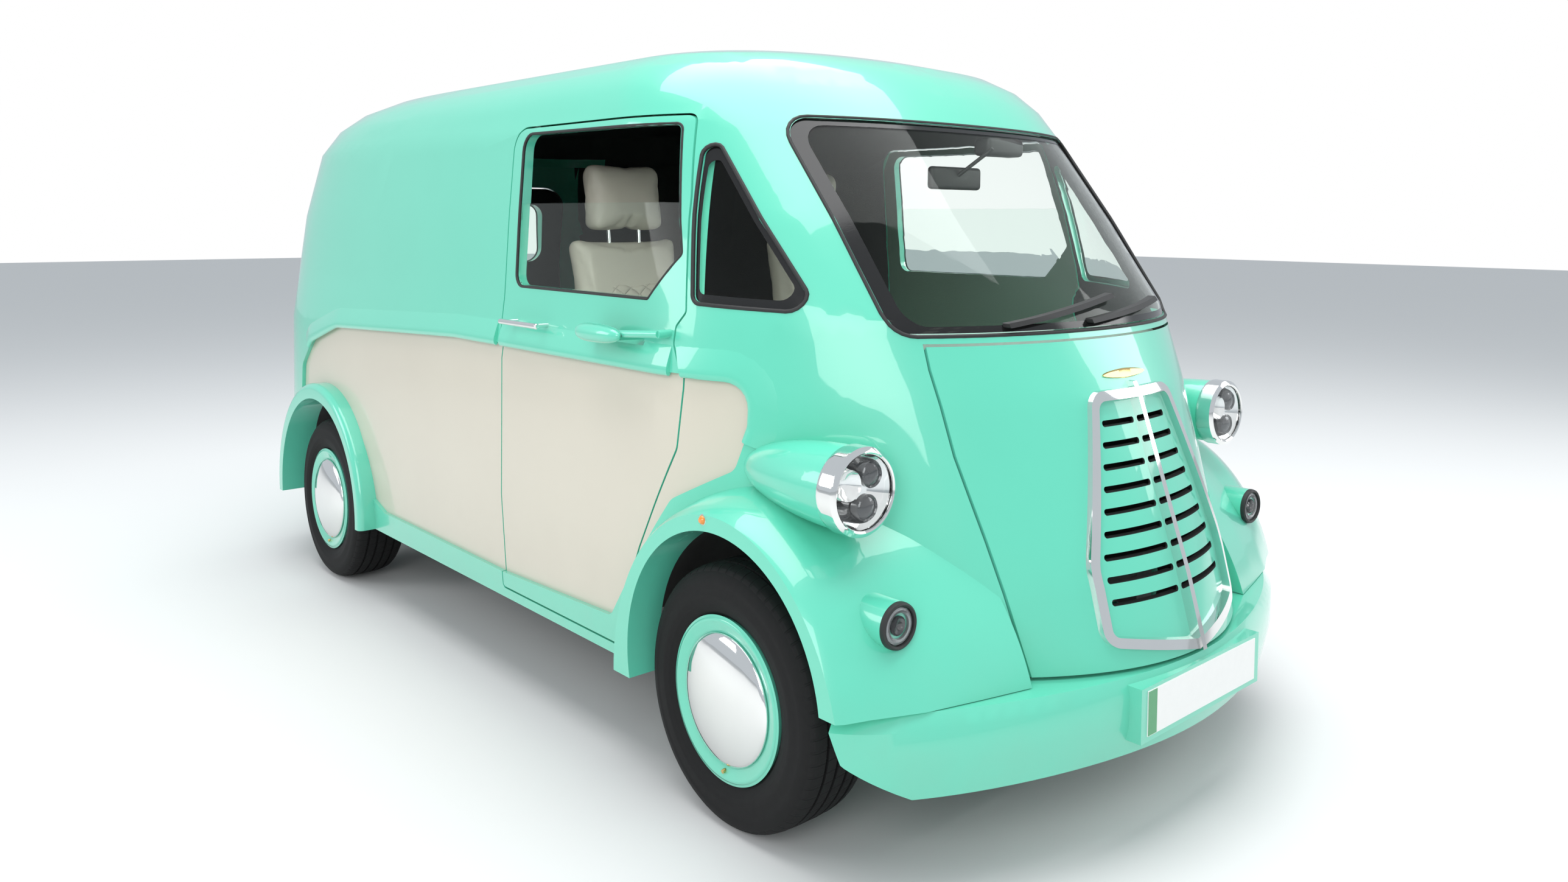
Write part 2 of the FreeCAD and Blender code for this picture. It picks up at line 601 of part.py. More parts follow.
# Cross members between the rails, and the beam that carries the front hubs on kingpins.
CROSS_PLACES = (-1640, -900, 0, 900, 1980)
crossers = [block("cross_%d" % index, "-dimensions.rail_inside", y, 380, "2 * dimensions.rail_inside", 80, 80)
            for index, y in enumerate(CROSS_PLACES)]
EYE_RADIUS = 30
EYE_HEIGHT = 60
PIN_RADIUS = 12
MOVING_GAP = 6
BEAM = 25
beam_parts = [block("front_beam_bar", "-dimensions.kingpin_spread", "dimensions.front_axle_place - 30",
                    "dimensions.tyre_radius - %d" % BEAM, "2 * dimensions.kingpin_spread", 60, 2 * BEAM)]
beam_bores = []
for side, sign in (("right", "-"), ("left", "")):
    kingpin = sign + "dimensions.kingpin_spread"
    saddle = "-dimensions.rail_outside" if side == "right" else "dimensions.rail_inside"
    beam_parts.append(post("kingpin_eye_" + side, EYE_RADIUS, kingpin, "dimensions.front_axle_place",
                           "dimensions.tyre_radius - %d" % (EYE_HEIGHT / 2), EYE_HEIGHT))
    beam_parts.append(block("beam_saddle_" + side, saddle, "dimensions.front_axle_place - 30",
                            "dimensions.tyre_radius", 80, 60,
                            "dimensions.rail_bottom - dimensions.tyre_radius"))
    beam_bores.append(post("kingpin_bore_" + side, PIN_RADIUS + MOVING_GAP, kingpin,
                           "dimensions.front_axle_place", "dimensions.tyre_radius - 100", 200))
front_beam = less("front_beam", united("front_beam_blank", beam_parts), united("kingpin_bores", beam_bores))
keep_object("frame_crossmembers", group("frame_crossmembers", crossers + [front_beam]))

# Battery under the floor, notched over the middle cross member.
battery = less("battery_pack", block("battery_block", -340, -780, 290, 680, 1640, 165),
               block("battery_notch", -400, -8, 372, 800, 96, 120))
keep_object("battery_pack", battery)

# Driven rear axle: tube, brake drums, the drive unit in the middle and saddles under the rails.
TUBE = "dimensions.axle_tube_radius"
AXLE_Y = "dimensions.front_axle_place + dimensions.wheelbase"
AXLE_Z = "dimensions.tyre_radius"
drive_unit = less("drive_unit", rod("drive_drum", 130, -170, AXLE_Y, AXLE_Z, 340),
                  block("drive_flat", -200, AXLE_Y + " - 200", "dimensions.rail_bottom - 2", 400, 400, 200))
rear_axle = united("rear_axle", [
    rod("axle_tube", TUBE, "-dimensions.hub_face", AXLE_Y, AXLE_Z, "2 * dimensions.hub_face"),
    rod("drum_right", 120, "-dimensions.hub_face", AXLE_Y, AXLE_Z, 104),
    rod("drum_left", 120, "dimensions.hub_face - 104", AXLE_Y, AXLE_Z, 104),
    drive_unit,
    block("saddle_right", "-dimensions.rail_outside", AXLE_Y + " - 30", AXLE_Z, 80, 60,
          "dimensions.rail_bottom - dimensions.tyre_radius"),
    block("saddle_left", "dimensions.rail_inside", AXLE_Y + " - 30", AXLE_Z, 80, 60,
          "dimensions.rail_bottom - dimensions.tyre_radius")])
keep_object("rear_axle", rear_axle)

# Steering knuckles: two ears and the kingpin, a flange and the stub that carries the wheel.
EAR = 24
EAR_GAP = EYE_HEIGHT / 2 + MOVING_GAP
FRONT_Y = "dimensions.front_axle_place"
knuckle = united("knuckle_right", [
    block("ear_upper", -850, FRONT_Y + " - 28", AXLE_Z + " + %g" % EAR_GAP, 88, 56, EAR),
    block("ear_lower", -850, FRONT_Y + " - 28", AXLE_Z + " - %g" % (EAR_GAP + EAR), 88, 56, EAR),
    post("kingpin", PIN_RADIUS, "-dimensions.kingpin_spread", FRONT_Y, AXLE_Z + " - %g" % (EAR_GAP + EAR),
         2 * (EAR_GAP + EAR)),
    rod("flange", 75, -850, FRONT_Y, AXLE_Z, 18),
    rod("stub", 55, "-dimensions.hub_face", FRONT_Y, AXLE_Z, "dimensions.hub_face - 850")])
keep_object("knuckle_right", knuckle)
keep_mirror("knuckle_left", knuckle)

# Tyres and dished steel wheels, turned about the axles. Profiles are (place across, radius).
half_tyre = dim("tyre_width") / 2
TYRE_PROFILE = [(-half_tyre + 22, RIM_RADIUS), (-half_tyre + 4, RIM_RADIUS + 30),
                (-half_tyre, RIM_RADIUS + 65), (-half_tyre + 8, TYRE_RADIUS - 28),
                (-half_tyre + 30, TYRE_RADIUS - 4), (0, TYRE_RADIUS),
                (half_tyre - 30, TYRE_RADIUS - 4), (half_tyre - 8, TYRE_RADIUS - 28),
                (half_tyre, RIM_RADIUS + 65), (half_tyre - 4, RIM_RADIUS + 30), (half_tyre - 22, RIM_RADIUS)]
RIM_PROFILE = [(-half_tyre, 0), (-half_tyre - 10, 60), (-half_tyre + 12, 120), (-half_tyre + 24, 150),
               (-half_tyre + 12, 165), (-half_tyre + 2, RIM_RADIUS - 8), (-half_tyre + 6, RIM_RADIUS + 6),
               (-half_tyre + 22, RIM_RADIUS), (half_tyre - 22, RIM_RADIUS), (half_tyre - 22, RIM_RADIUS - 10),
               (-half_tyre + 45, RIM_RADIUS - 20), (-half_tyre + 40, 0)]


def spun(label, profile, axle):
    """Right-hand wheel part turned from its profile about the axle named by a rule on the dimensions."""
    face = doc.addObject("Part::Feature", label + "_profile")
    points = [Vector(across - WHEEL_X, 0, radius) for across, radius in profile]
    face.Shape = Part.Face(Part.makePolygon(points + [points[0]]))
    bound(face, {"Placement.Base.y": axle, "Placement.Base.z": AXLE_Z})
    item = doc.addObject("Part::Revolution", label)
    item.Source = face
    item.Axis = Vector(1, 0, 0)
    item.Angle = 360
    item.Solid = True
    return bound(item, {"Base.y": axle, "Base.z": AXLE_Z})


for end, axle in (("front", FRONT_Y), ("rear", AXLE_Y)):
    for kind, profile in (("tyre", TYRE_PROFILE), ("wheel", RIM_PROFILE)):
        right = "%s_%s_right" % (kind, end)
        left = "%s_%s_left" % (kind, end)
        keep_object(right, spun(right, profile, axle))
        keep_mirror(left, parts[right])

# Dashboard across the cab with the steering column, and the steering wheel on its end.
TILT = Vector(0, 0.87, 0.5).normalize()
WHEEL_CENTRE = Vector(dim("steering_wheel_side"), dim("steering_wheel_place"), dim("steering_wheel_height"))
DASH_CLEARANCE = 6
DASH_PROFILE = [(-1700, 960), (-1270, 890), (-1190, 930), (-1180, 1120), (-1290, 1192), (-1700, 1192)]
dash_space = body_form(WALL + DASH_CLEARANCE, INNER_RINGS)
dash = joined(side_prism(DASH_PROFILE, [5, 30, 30, 40, 60, 5], -REACH, 0).common(dash_space))
column = Part.makeCylinder(28, 300, WHEEL_CENTRE - TILT * 325, TILT)
keep("dashboard", dash.fuse(column))
rim = doc.addObject("Part::Torus", "steering_rim")
hub = doc.addObject("Part::Cylinder", "steering_hub")
turn = FreeCAD.Rotation(Vector(0, 0, 1), TILT)
rim.Placement = FreeCAD.Placement(WHEEL_CENTRE, turn)
rim.Radius2 = 15
bound(rim, {"Radius1": "dimensions.steering_wheel_radius"})
hub.Placement = FreeCAD.Placement(WHEEL_CENTRE - TILT * 20, turn)
hub.Radius = 38
hub.Height = 40
spokes = []
for index, angle in enumerate((30, 150, 270)):
    spoke = doc.addObject("Part::Box", "steering_spoke_%d" % index)
    spoke.Width = 24
    spoke.Height = 10
    spoke.Placement = FreeCAD.Placement(WHEEL_CENTRE, turn * FreeCAD.Rotation(Vector(0, 0, 1), angle)) * (
        FreeCAD.Placement(Vector(0, -12, -5), FreeCAD.Rotation()))
    bound(spoke, {"Length": "dimensions.steering_wheel_radius"})
    spokes.append(spoke)
keep_object("steering_wheel", united("steering_wheel", [rim, hub] + spokes))

# Two seats, each a cushion and a back with the headrest in one, on a plinth.
CUSHION = [(-640, 590), (-650, 760), (-600, 795), (-200, 775), (-150, 590)]
BACKREST = [(-235, 760), (-130, 760), (-15, 1400), (-5, 1560), (-90, 1565), (-115, 1400)]
SEAT_SIDES = (-660, -200)
seat = side_prism(CUSHION, [30, 30, 40, 30, 30], *SEAT_SIDES).fuse(
    [side_prism(BACKREST, [20, 20, 200, 30, 30, 200], *SEAT_SIDES),
     box(-600, -260, -580, -180, FLOOR + dim("floor_thickness"), 600)])
keep("seats", both_sides(seat))

# Round rear lamps, the rear bumper strip and the wipers parked on the windscreen.
lamp = Part.makeCylinder(45, 600, Vector(-720, 1850, 760), Vector(0, 1, 0))
keep("rear_lamps", both_sides(lamp.common(body_form(-BAR_PROUD)).cut(outer)))
rear_bumper = proud_skin.cut(outer).common(box(-REACH, 0, 1960, BEHIND, 302, 410))
keep("bumper_rear", joined(rear_bumper))
WIPER_BLADES = [
    [(-347, 1262), (107, 1322), (107, 1334), (-347, 1274)],
    [(-61, 1262), (390, 1300), (390, 1312), (-61, 1274)],
]
screen_front = proud_skin.cut(at_glass)
screen_front = screen_front.fuse(mirrored(screen_front))
blades = [screen_front.common(end_prism(outline, 3, AHEAD, NOSE_BEHIND)) for outline in WIPER_BLADES]
keep("wipers", Part.makeCompound(blades))

doc.recompute()
for item in doc.Objects:
    if any(word in item.State for word in ("Invalid", "Error")):
        raise RuntimeError("%s is in state %s" % (item.Label, item.State))
for name, item in parts.items():
    if item.Shape.isNull() or not item.Shape.Solids or not item.Shape.isValid():
        raise RuntimeError("%s has no valid solid" % name)
os.makedirs("parts", exist_ok=True)
for name, item in parts.items():
    print(name, len(item.Shape.Solids), round(item.Shape.Volume / 1e6, 2))
    item.Shape.exportStep("parts/%s.step" % name)
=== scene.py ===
import math
import bpy
from mathutils import Matrix, Vector
from mathutils.bvhtree import BVHTree


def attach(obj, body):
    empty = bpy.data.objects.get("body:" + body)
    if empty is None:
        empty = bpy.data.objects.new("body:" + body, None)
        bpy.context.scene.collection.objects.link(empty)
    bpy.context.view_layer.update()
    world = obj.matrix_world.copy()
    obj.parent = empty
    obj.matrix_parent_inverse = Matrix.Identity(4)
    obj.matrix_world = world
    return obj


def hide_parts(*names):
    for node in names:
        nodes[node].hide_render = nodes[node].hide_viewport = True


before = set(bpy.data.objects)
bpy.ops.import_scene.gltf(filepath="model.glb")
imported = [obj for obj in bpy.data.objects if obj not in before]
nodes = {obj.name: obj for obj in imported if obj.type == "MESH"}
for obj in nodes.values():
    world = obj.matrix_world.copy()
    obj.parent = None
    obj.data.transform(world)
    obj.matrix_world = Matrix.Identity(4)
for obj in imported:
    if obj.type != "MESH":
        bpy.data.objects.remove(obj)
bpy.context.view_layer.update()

SIDES = ((-1, "right"), (1, "left"))

# The room: a pale floor under a wide soft ceiling light, with softer ones beside and in front. Each light
# has its name, its place, the point it faces, its width and its power.
FLOOR_SIZE = 80
FLOOR_COLOUR = (0.74, 0.74, 0.73, 1)
WORLD_COLOUR = (0.80, 0.86, 0.92, 1)
WORLD_STRENGTH = 0.75
WHITE = (1, 1, 1, 1)
LIGHTS = [
    ("ceiling", (0.0, -0.5, 7.0), (0.0, 0.0, 0.5), 7.0, 520),
    ("front_side", (-6.5, -6.0, 4.2), (0.0, -0.5, 0.8), 4.5, 240),
    ("rear_side", (-7.0, 4.5, 3.6), (0.0, 1.0, 0.8), 3.5, 130),
    ("far_side", (6.0, -5.0, 4.0), (0.0, 0.0, 1.0), 3.5, 120),
]


def new_material(name):
    """A node material, its tree and its shader."""
    material = bpy.data.materials.new(name)
    material.use_nodes = True
    return material, material.node_tree, material.node_tree.nodes["Principled BSDF"]


def set_inputs(node, **values):
    """Sets a node's plain input values by name, with _ for a space."""
    for name, value in values.items():
        node.inputs[name.replace("_", " ")].default_value = value


def add_node(tree, kind, **values):
    """A new shader node with its plain input values."""
    node = tree.nodes.new("ShaderNode" + kind)
    set_inputs(node, **values)
    return node


def add_math(tree, operation, second=None):
    """A new Math node, with its second value where that is fixed."""
    node = tree.nodes.new("ShaderNodeMath")
    node.operation = operation
    if second is not None:
        node.inputs[1].default_value = second
    return node


def stage_floor():
    bpy.ops.object.select_all(action="DESELECT")
    bpy.ops.mesh.primitive_plane_add(size=FLOOR_SIZE)
    floor = bpy.context.object
    floor.name = "floor"
    material, tree, shader = new_material("floor")
    set_inputs(shader, Base_Color=FLOOR_COLOUR, Roughness=0.8)
    noise = add_node(tree, "TexNoise", Scale=40)
    bump = add_node(tree, "Bump", Strength=0.08)
    tree.links.new(noise.outputs["Fac"], bump.inputs["Height"])
    tree.links.new(bump.outputs["Normal"], shader.inputs["Normal"])
    floor.data.materials.append(material)


def stage_lights():
    for name, place, target, size, power in LIGHTS:
        light = bpy.data.lights.new(name, "AREA")
        light.size = size
        light.energy = power
        lamp = bpy.data.objects.new(name, light)
        lamp.location = place
        lamp.rotation_euler = (Vector(target) - Vector(place)).to_track_quat("-Z", "Y").to_euler()
        bpy.context.scene.collection.objects.link(lamp)


def stage_world():
    world = bpy.data.worlds.new("studio")
    bpy.context.scene.world = world
    world.use_nodes = True
    tree = world.node_tree
    soft = tree.nodes["Background"]
    set_inputs(soft, Color=WORLD_COLOUR, Strength=WORLD_STRENGTH)
    white = add_node(tree, "Background", Color=WHITE)
    path = add_node(tree, "LightPath")
    mix = add_node(tree, "MixShader")
    seen = add_math(tree, "MAXIMUM")
    tree.links.new(path.outputs["Is Camera Ray"], seen.inputs[0])
    tree.links.new(path.outputs["Is Transmission Ray"], seen.inputs[1])
    tree.links.new(seen.outputs["Value"], mix.inputs["Fac"])
    tree.links.new(soft.outputs["Background"], mix.inputs[1])
    tree.links.new(white.outputs["Background"], mix.inputs[2])
    tree.links.new(mix.outputs["Shader"], tree.nodes["World Output"].inputs["Surface"])


# The camera: the photograph's viewpoint, solved from the van's own symmetry, uprights and standard sizes.
CAMERA_PLACE = Vector((-2.610, -3.6189, 1.535))
CAMERA_YAW = math.radians(43.28)
CAMERA_DIP = math.radians(3.76)
CAMERA_ROLL = math.radians(0.373)
FOCAL_PIXELS = 1885.0
PHOTO_WIDTH = 2576
PHOTO_HEIGHT = 1449
OPTICAL_CENTRE = (1395.8, 483.0)
SENSOR_WIDTH = 36


def stage_camera():
    level = math.cos(CAMERA_DIP)
    ahead = Vector((math.sin(CAMERA_YAW) * level, math.cos(CAMERA_YAW) * level, -math.sin(CAMERA_DIP)))
    across = Vector((math.cos(CAMERA_YAW), -math.sin(CAMERA_YAW), 0))
    up = across.cross(ahead)
    right = across * math.cos(CAMERA_ROLL) + up * math.sin(CAMERA_ROLL)
    top = up * math.cos(CAMERA_ROLL) - across * math.sin(CAMERA_ROLL)
    lens = bpy.data.cameras.new("camera")
    lens.sensor_width = SENSOR_WIDTH
    lens.lens = FOCAL_PIXELS / PHOTO_WIDTH * SENSOR_WIDTH
    lens.shift_x = (PHOTO_WIDTH / 2 - OPTICAL_CENTRE[0]) / PHOTO_WIDTH
    lens.shift_y = (OPTICAL_CENTRE[1] - PHOTO_HEIGHT / 2) / PHOTO_WIDTH
    camera = bpy.data.objects.new("camera", lens)
    facing = Matrix((right, top, -ahead)).transposed().to_4x4()
    camera.matrix_world = Matrix.Translation(CAMERA_PLACE) @ facing
    bpy.context.scene.collection.objects.link(camera)
    bpy.context.scene.camera = camera


stage_floor()
stage_lights()
stage_world()
stage_camera()
bpy.context.scene.view_settings.view_transform = "Standard"

# Painted body: steel sides and roof with moulded wings, bumpers and nose, all under a glossy mint paint,
# with the recessed flanks sprayed cream. Inside, the walls carry a dark lining.
MINT = (0.115, 0.62, 0.44)
MINT_DEEP = (0.105, 0.585, 0.415)
CREAM = (0.62, 0.575, 0.475)
CREAM_DEEP = (0.585, 0.54, 0.445)


def new_group(name, inputs, outputs):
    """A shader node group with its sockets, given as (name, kind), and its two end nodes."""
    group = bpy.data.node_groups.new(name, "ShaderNodeTree")
    for socket, kind in inputs:
        group.interface.new_socket(socket, in_out="INPUT", socket_type="NodeSocket" + kind)
    for socket, kind in outputs:
        group.interface.new_socket(socket, in_out="OUTPUT", socket_type="NodeSocket" + kind)
    return group, group.nodes.new("NodeGroupInput"), group.nodes.new("NodeGroupOutput")


def mottle():
    """Group whose colour drifts between two near shades, with a fine uneven surface."""
    inputs = (("First", "Color"), ("Second", "Color"), ("Scale", "Float"), ("Relief", "Float"))
    group, entry, leave = new_group("mottle", inputs, (("Color", "Color"), ("Normal", "Vector")))
    place = add_node(group, "TexCoord")
    noise = add_node(group, "TexNoise", Detail=3)
    shades = group.nodes.new("ShaderNodeMix")
    shades.data_type = "RGBA"
    bump = add_node(group, "Bump", Distance=0.002)
    link = group.links.new
    link(place.outputs["Object"], noise.inputs["Vector"])
    link(entry.outputs["Scale"], noise.inputs["Scale"])
    link(noise.outputs["Fac"], shades.inputs["Factor"])
    link(entry.outputs["First"], shades.inputs["A"])
    link(entry.outputs["Second"], shades.inputs["B"])
    link(shades.outputs["Result"], leave.inputs["Color"])
    link(noise.outputs["Fac"], bump.inputs["Height"])
    link(entry.outputs["Relief"], bump.inputs["Strength"])
    link(bump.outputs["Normal"], leave.inputs["Normal"])
    return group


MOTTLE = mottle()


def mottled_material(name, first, second, scale, relief, **values):
    """A material in two near shades, (red, green, blue) each, that drift into each other."""
    material, tree, shader = new_material(name)
    drift = tree.nodes.new("ShaderNodeGroup")
    drift.node_tree = MOTTLE
    set_inputs(drift, First=(*first, 1), Second=(*second, 1), Scale=scale, Relief=relief)
    tree.links.new(drift.outputs["Color"], shader.inputs["Base Color"])
    tree.links.new(drift.outputs["Normal"], shader.inputs["Normal"])
    set_inputs(shader, **values)
    return material


FILM_TOP = 0.75
FILM_BOTTOM = 0.22
FILM_STRENGTH = 0.16
FILM_COLOUR = (0.30, 0.27, 0.22, 1)


def road_film():
    """Group that dulls a finish towards the ground, where spray and dust settle."""
    group, entry, leave = new_group("road_film", (("Clean", "Color"),), (("Color", "Color"),))
    place = add_node(group, "TexCoord")
    parts = add_node(group, "SeparateXYZ")
    height = add_node(group, "MapRange", From_Min=FILM_TOP, From_Max=FILM_BOTTOM)
    noise = add_node(group, "TexNoise", Scale=9, Detail=6)
    amount = add_math(group, "MULTIPLY")
    slight = add_math(group, "MULTIPLY", FILM_STRENGTH)
    tint = group.nodes.new("ShaderNodeMix")
    tint.data_type = "RGBA"
    tint.inputs["B"].default_value = FILM_COLOUR
    link = group.links.new
    link(place.outputs["Object"], parts.inputs["Vector"])
    link(place.outputs["Object"], noise.inputs["Vector"])
    link(parts.outputs["Z"], height.inputs["Value"])
    link(height.outputs["Result"], amount.inputs[0])
    link(noise.outputs["Fac"], amount.inputs[1])
    link(amount.outputs["Value"], slight.inputs[0])
    link(slight.outputs["Value"], tint.inputs["Factor"])
    link(entry.outputs["Clean"], tint.inputs["A"])
    link(tint.outputs["Result"], leave.inputs["Color"])
    return group


ROAD_FILM = road_film()


def paint_material(name, first, second, **values):
    """Sprayed paint: a slow drift of shade, a trace of orange peel and the road film near the sills."""
    material = mottled_material(name, first, second, 3, 0.0, **values)
    tree = material.node_tree
    shader = tree.nodes["Principled BSDF"]
    film = tree.nodes.new("ShaderNodeGroup")
    film.node_tree = ROAD_FILM
    source = shader.inputs["Base Color"].links[0].from_socket
    tree.links.new(source, film.inputs["Clean"])
    tree.links.new(film.outputs["Color"], shader.inputs["Base Color"])
    peel = add_node(tree, "TexNoise", Scale=260)
    bump = add_node(tree, "Bump", Strength=0.015, Distance=0.001)
    place = add_node(tree, "TexCoord")
    tree.links.new(place.outputs["Object"], peel.inputs["Vector"])
    tree.links.new(peel.outputs["Fac"], bump.inputs["Height"])
    tree.links.new(bump.outputs["Normal"], shader.inputs["Normal"])
    return material


mint_paint = paint_material("mint_paint", MINT, MINT_DEEP, Roughness=0.3, Coat_Weight=1.0,
                            Coat_Roughness=0.03)
cream_paint = paint_material("cream_paint", CREAM, CREAM_DEEP, Roughness=0.4, Coat_Weight=0.7,
                             Coat_Roughness=0.08)
lining = mottled_material("lining", (0.05, 0.052, 0.052), (0.035, 0.037, 0.037), 180, 0.25, Roughness=0.85)
CREASE = math.radians(28)
WELD = 0.00005


def polish(name):
    """Shades a node's facets as one surface, with its real edges left sharp."""
    piece = nodes[name]
    for face in piece.data.polygons:
        face.use_smooth = True
    carried = piece.data.attributes.get("custom_normal")
    if carried:
        piece.data.attributes.remove(carried)
    weld = piece.modifiers.new("weld", "WELD")
    weld.merge_threshold = WELD
    edges = piece.modifiers.new("creases", "EDGE_SPLIT")
    edges.split_angle = CREASE
    edges.use_edge_sharp = False


def dress(name, *materials):
    """Gives a node its materials and its shading."""
    nodes[name].data.materials.clear()
    for material in materials:
        nodes[name].data.materials.append(material)
    polish(name)


# Cream flanks: the recess pressed into each side panel and door is sprayed cream to its outline, (y, z).
# Outlines are kept as drawn, before the whole van was centred, and OFFSET is the centring along Y.
OFFSET = -0.0459
FLANK = [(-1.300, 0.900), (-1.336, 1.010), (-1.336, 1.131), (0.195, 1.131), (1.295, 1.084), (1.600, 1.000),
         (1.745, 0.880), (1.765, 0.690), (1.520, 0.600), (0.853, 0.385), (-0.144, 0.383), (-0.797, 0.410),
         (-1.100, 0.800)]


def within(y, z, outline):
    """Whether a point lies inside a closed outline."""
    inside = False
    for (y0, z0), (y1, z1) in zip(outline, outline[1:] + outline[:1]):
        if (z0 > z) != (z1 > z) and y < y0 + (z - z0) * (y1 - y0) / (z1 - z0):
            inside = not inside
    return inside


RECESS_FLOOR = 0.917
LINED_ABOVE = 0.36
LINED_BEYOND = 0.3
SQUARE_OUT = 0.8
SQUARE_IN = 0.5
door_card = mottled_material("door_card", (0.125, 0.215, 0.165), (0.115, 0.20, 0.155), 160, 0.2,
                             Roughness=0.6)


def paint_side(name, trim):
    """Mint outside, cream on the floor of the recess and trimmed inside."""
    dress(name, mint_paint, cream_paint, trim)
    for face in nodes[name].data.polygons:
        place, normal = face.center, face.normal
        outward = normal.x * place.x > 0
        recessed = abs(place.x) < RECESS_FLOOR and within(place.y - OFFSET, place.z, FLANK)
        if outward and recessed and abs(normal.x) > SQUARE_OUT:
            face.material_index = 1
        inward = normal.x * place.x < 0 and abs(normal.x) > SQUARE_IN and abs(place.x) > LINED_BEYOND
        if inward and place.z > LINED_ABOVE:
            face.material_index = 2


for name in ("wing_right", "wing_left", "bumper_front", "bumper_rear"):
    dress(name, mint_paint)
for side, word in SIDES:
    paint_side("body_side_" + word, lining)
    paint_side("door_" + word, door_card)
for name in ("roof_panel", "bonnet", "rear_door_right", "rear_door_left"):
    dress(name, mint_paint, lining)
CEILING = -0.2
for face in nodes["roof_panel"].data.polygons:
    if face.normal.z < CEILING:
        face.material_index = 1
for name in ("rear_door_right", "rear_door_left"):
    for face in nodes[name].data.polygons:
        if face.normal.y < -SQUARE_OUT:
            face.material_index = 1

# Window seals: round rubber beads, pressed over the edges of the openings for the screen, the side windows
# and the rear windows, and laid on the panels' own curves.
CORNER_STEPS = 6


def pick(piece):
    """Selects one piece alone, for the operators that follow."""
    bpy.ops.object.select_all(action="DESELECT")
    piece.select_set(True)
    bpy.context.view_layer.objects.active = piece


def new_piece(name, data):
    """Puts a mesh or a curve into the scene as the picked piece."""
    piece = bpy.data.objects.new(name, data)
    bpy.context.scene.collection.objects.link(piece)
    pick(piece)
    return piece


def shown(piece, material, body, smooth_angle=0.6):
    """Finishes a new piece: its material, soft shading and the body that carries it."""
    piece.data.materials.clear()
    piece.data.materials.append(material)
    pick(piece)
    bpy.ops.object.transform_apply(location=True, rotation=True, scale=True)
    bpy.ops.object.shade_smooth_by_angle(angle=smooth_angle)
    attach(piece, body)
    return piece


def rounded_loop(points, radii, grow=0.0):
    """Points along a closed outline with rounded corners, grown outwards by a margin."""
    loop = []
    count = len(points)
    area = sum(points[i - 1][0] * points[i][1] - points[i][0] * points[i - 1][1] for i in range(count))
    turn = 1 if area > 0 else -1
    for index in range(count):
        corner = Vector(points[index])
        back = (Vector(points[index - 1]) - corner).normalized()
        ahead = (Vector(points[(index + 1) % count]) - corner).normalized()
        half_angle = back.angle(ahead) / 2
        middle = corner + (back + ahead).normalized() * radii[index] / math.sin(half_angle)
        start = corner + back * radii[index] / math.tan(half_angle)
        end = corner + ahead * radii[index] / math.tan(half_angle)
        first, last = start - middle, end - middle
        sweep = math.atan2(first.x * last.y - first.y * last.x, first.dot(last))
        bulge = 1 if sweep * turn > 0 else -1
        for step in range(CORNER_STEPS + 1):
            angle = sweep * step / CORNER_STEPS
            arm = Vector((first.x * math.cos(angle) - first.y * math.sin(angle),
                          first.x * math.sin(angle) + first.y * math.cos(angle)))
            loop.append(middle + arm * (1 + bulge * grow / radii[index]))
    return loop


def filled_loop(loop, spacing=0.05):
    """The same loop with points added along its straight stretches."""
    dense = []
    for first, second in zip(loop, loop[1:] + loop[:1]):
        steps = max(1, round((second - first).length / spacing))
        dense += [first.lerp(second, step / steps) for step in range(steps)]
    return dense


def skin(*names):
    """Tree of the named nodes' faces, for dropping points onto them."""
    vertices, faces = [], []
    for name in names:
        start = len(vertices)
        vertices += [vertex.co for vertex in nodes[name].data.vertices]
        faces += [[start + index for index in face.vertices] for face in nodes[name].data.polygons]
    return BVHTree.FromPolygons(vertices, faces)


def tube(name, points, radius, material, body, closed=True):
    """Round bar along the points."""
    line = bpy.data.curves.new(name, "CURVE")
    line.dimensions = "3D"
    line.bevel_depth = radius
    line.bevel_resolution = 2
    line.use_fill_caps = True
    spline = line.splines.new("POLY")
    spline.points.add(len(points) - 1)
    for point, place in zip(spline.points, points):
        point.co = (*place, 1)
    spline.use_cyclic_u = closed
    new_piece(name, line)
    bpy.ops.object.convert(target="MESH")
    return shown(bpy.context.object, material, body, 1.2)


rubber_and_slot_shade = mottled_material("rubber_and_slot_shade", (0.012, 0.012, 0.012), (0.02, 0.02, 0.02), 90, 0.15,
                               Roughness=0.55)
SCREEN = [(-0.616, 1.249), (0.616, 1.249), (0.624, 1.806), (-0.624, 1.806)]
SCREEN_CORNERS = [0.055, 0.055, 0.070, 0.070]
front_skin = skin("body_side_right", "body_side_left", "roof_panel")
REARWARDS = Vector((0, 1, 0))
AHEAD_OF_VAN = -4
BEHIND_VAN = 4
BESIDE_VAN = 3


def along_front(loop, tree, lift=0.0):
    """Drops (x, z) points back onto a surface from ahead of the van."""
    dropped = []
    for point in loop:
        hit = tree.ray_cast(Vector((point.x, AHEAD_OF_VAN, point.y)), REARWARDS)[0]
        if hit:
            dropped.append(hit - REARWARDS * lift)
    return dropped


def along_side(loop, tree, side, lift=0.0):
    """Drops (y, z) points onto a surface from beside the van."""
    inward = Vector((-side, 0, 0))
    dropped = []
    for point in loop:
        hit = tree.ray_cast(Vector((side * BESIDE_VAN, point.x + OFFSET, point.y)), inward)[0]
        if hit:
            dropped.append(hit - inward * lift)
    return dropped


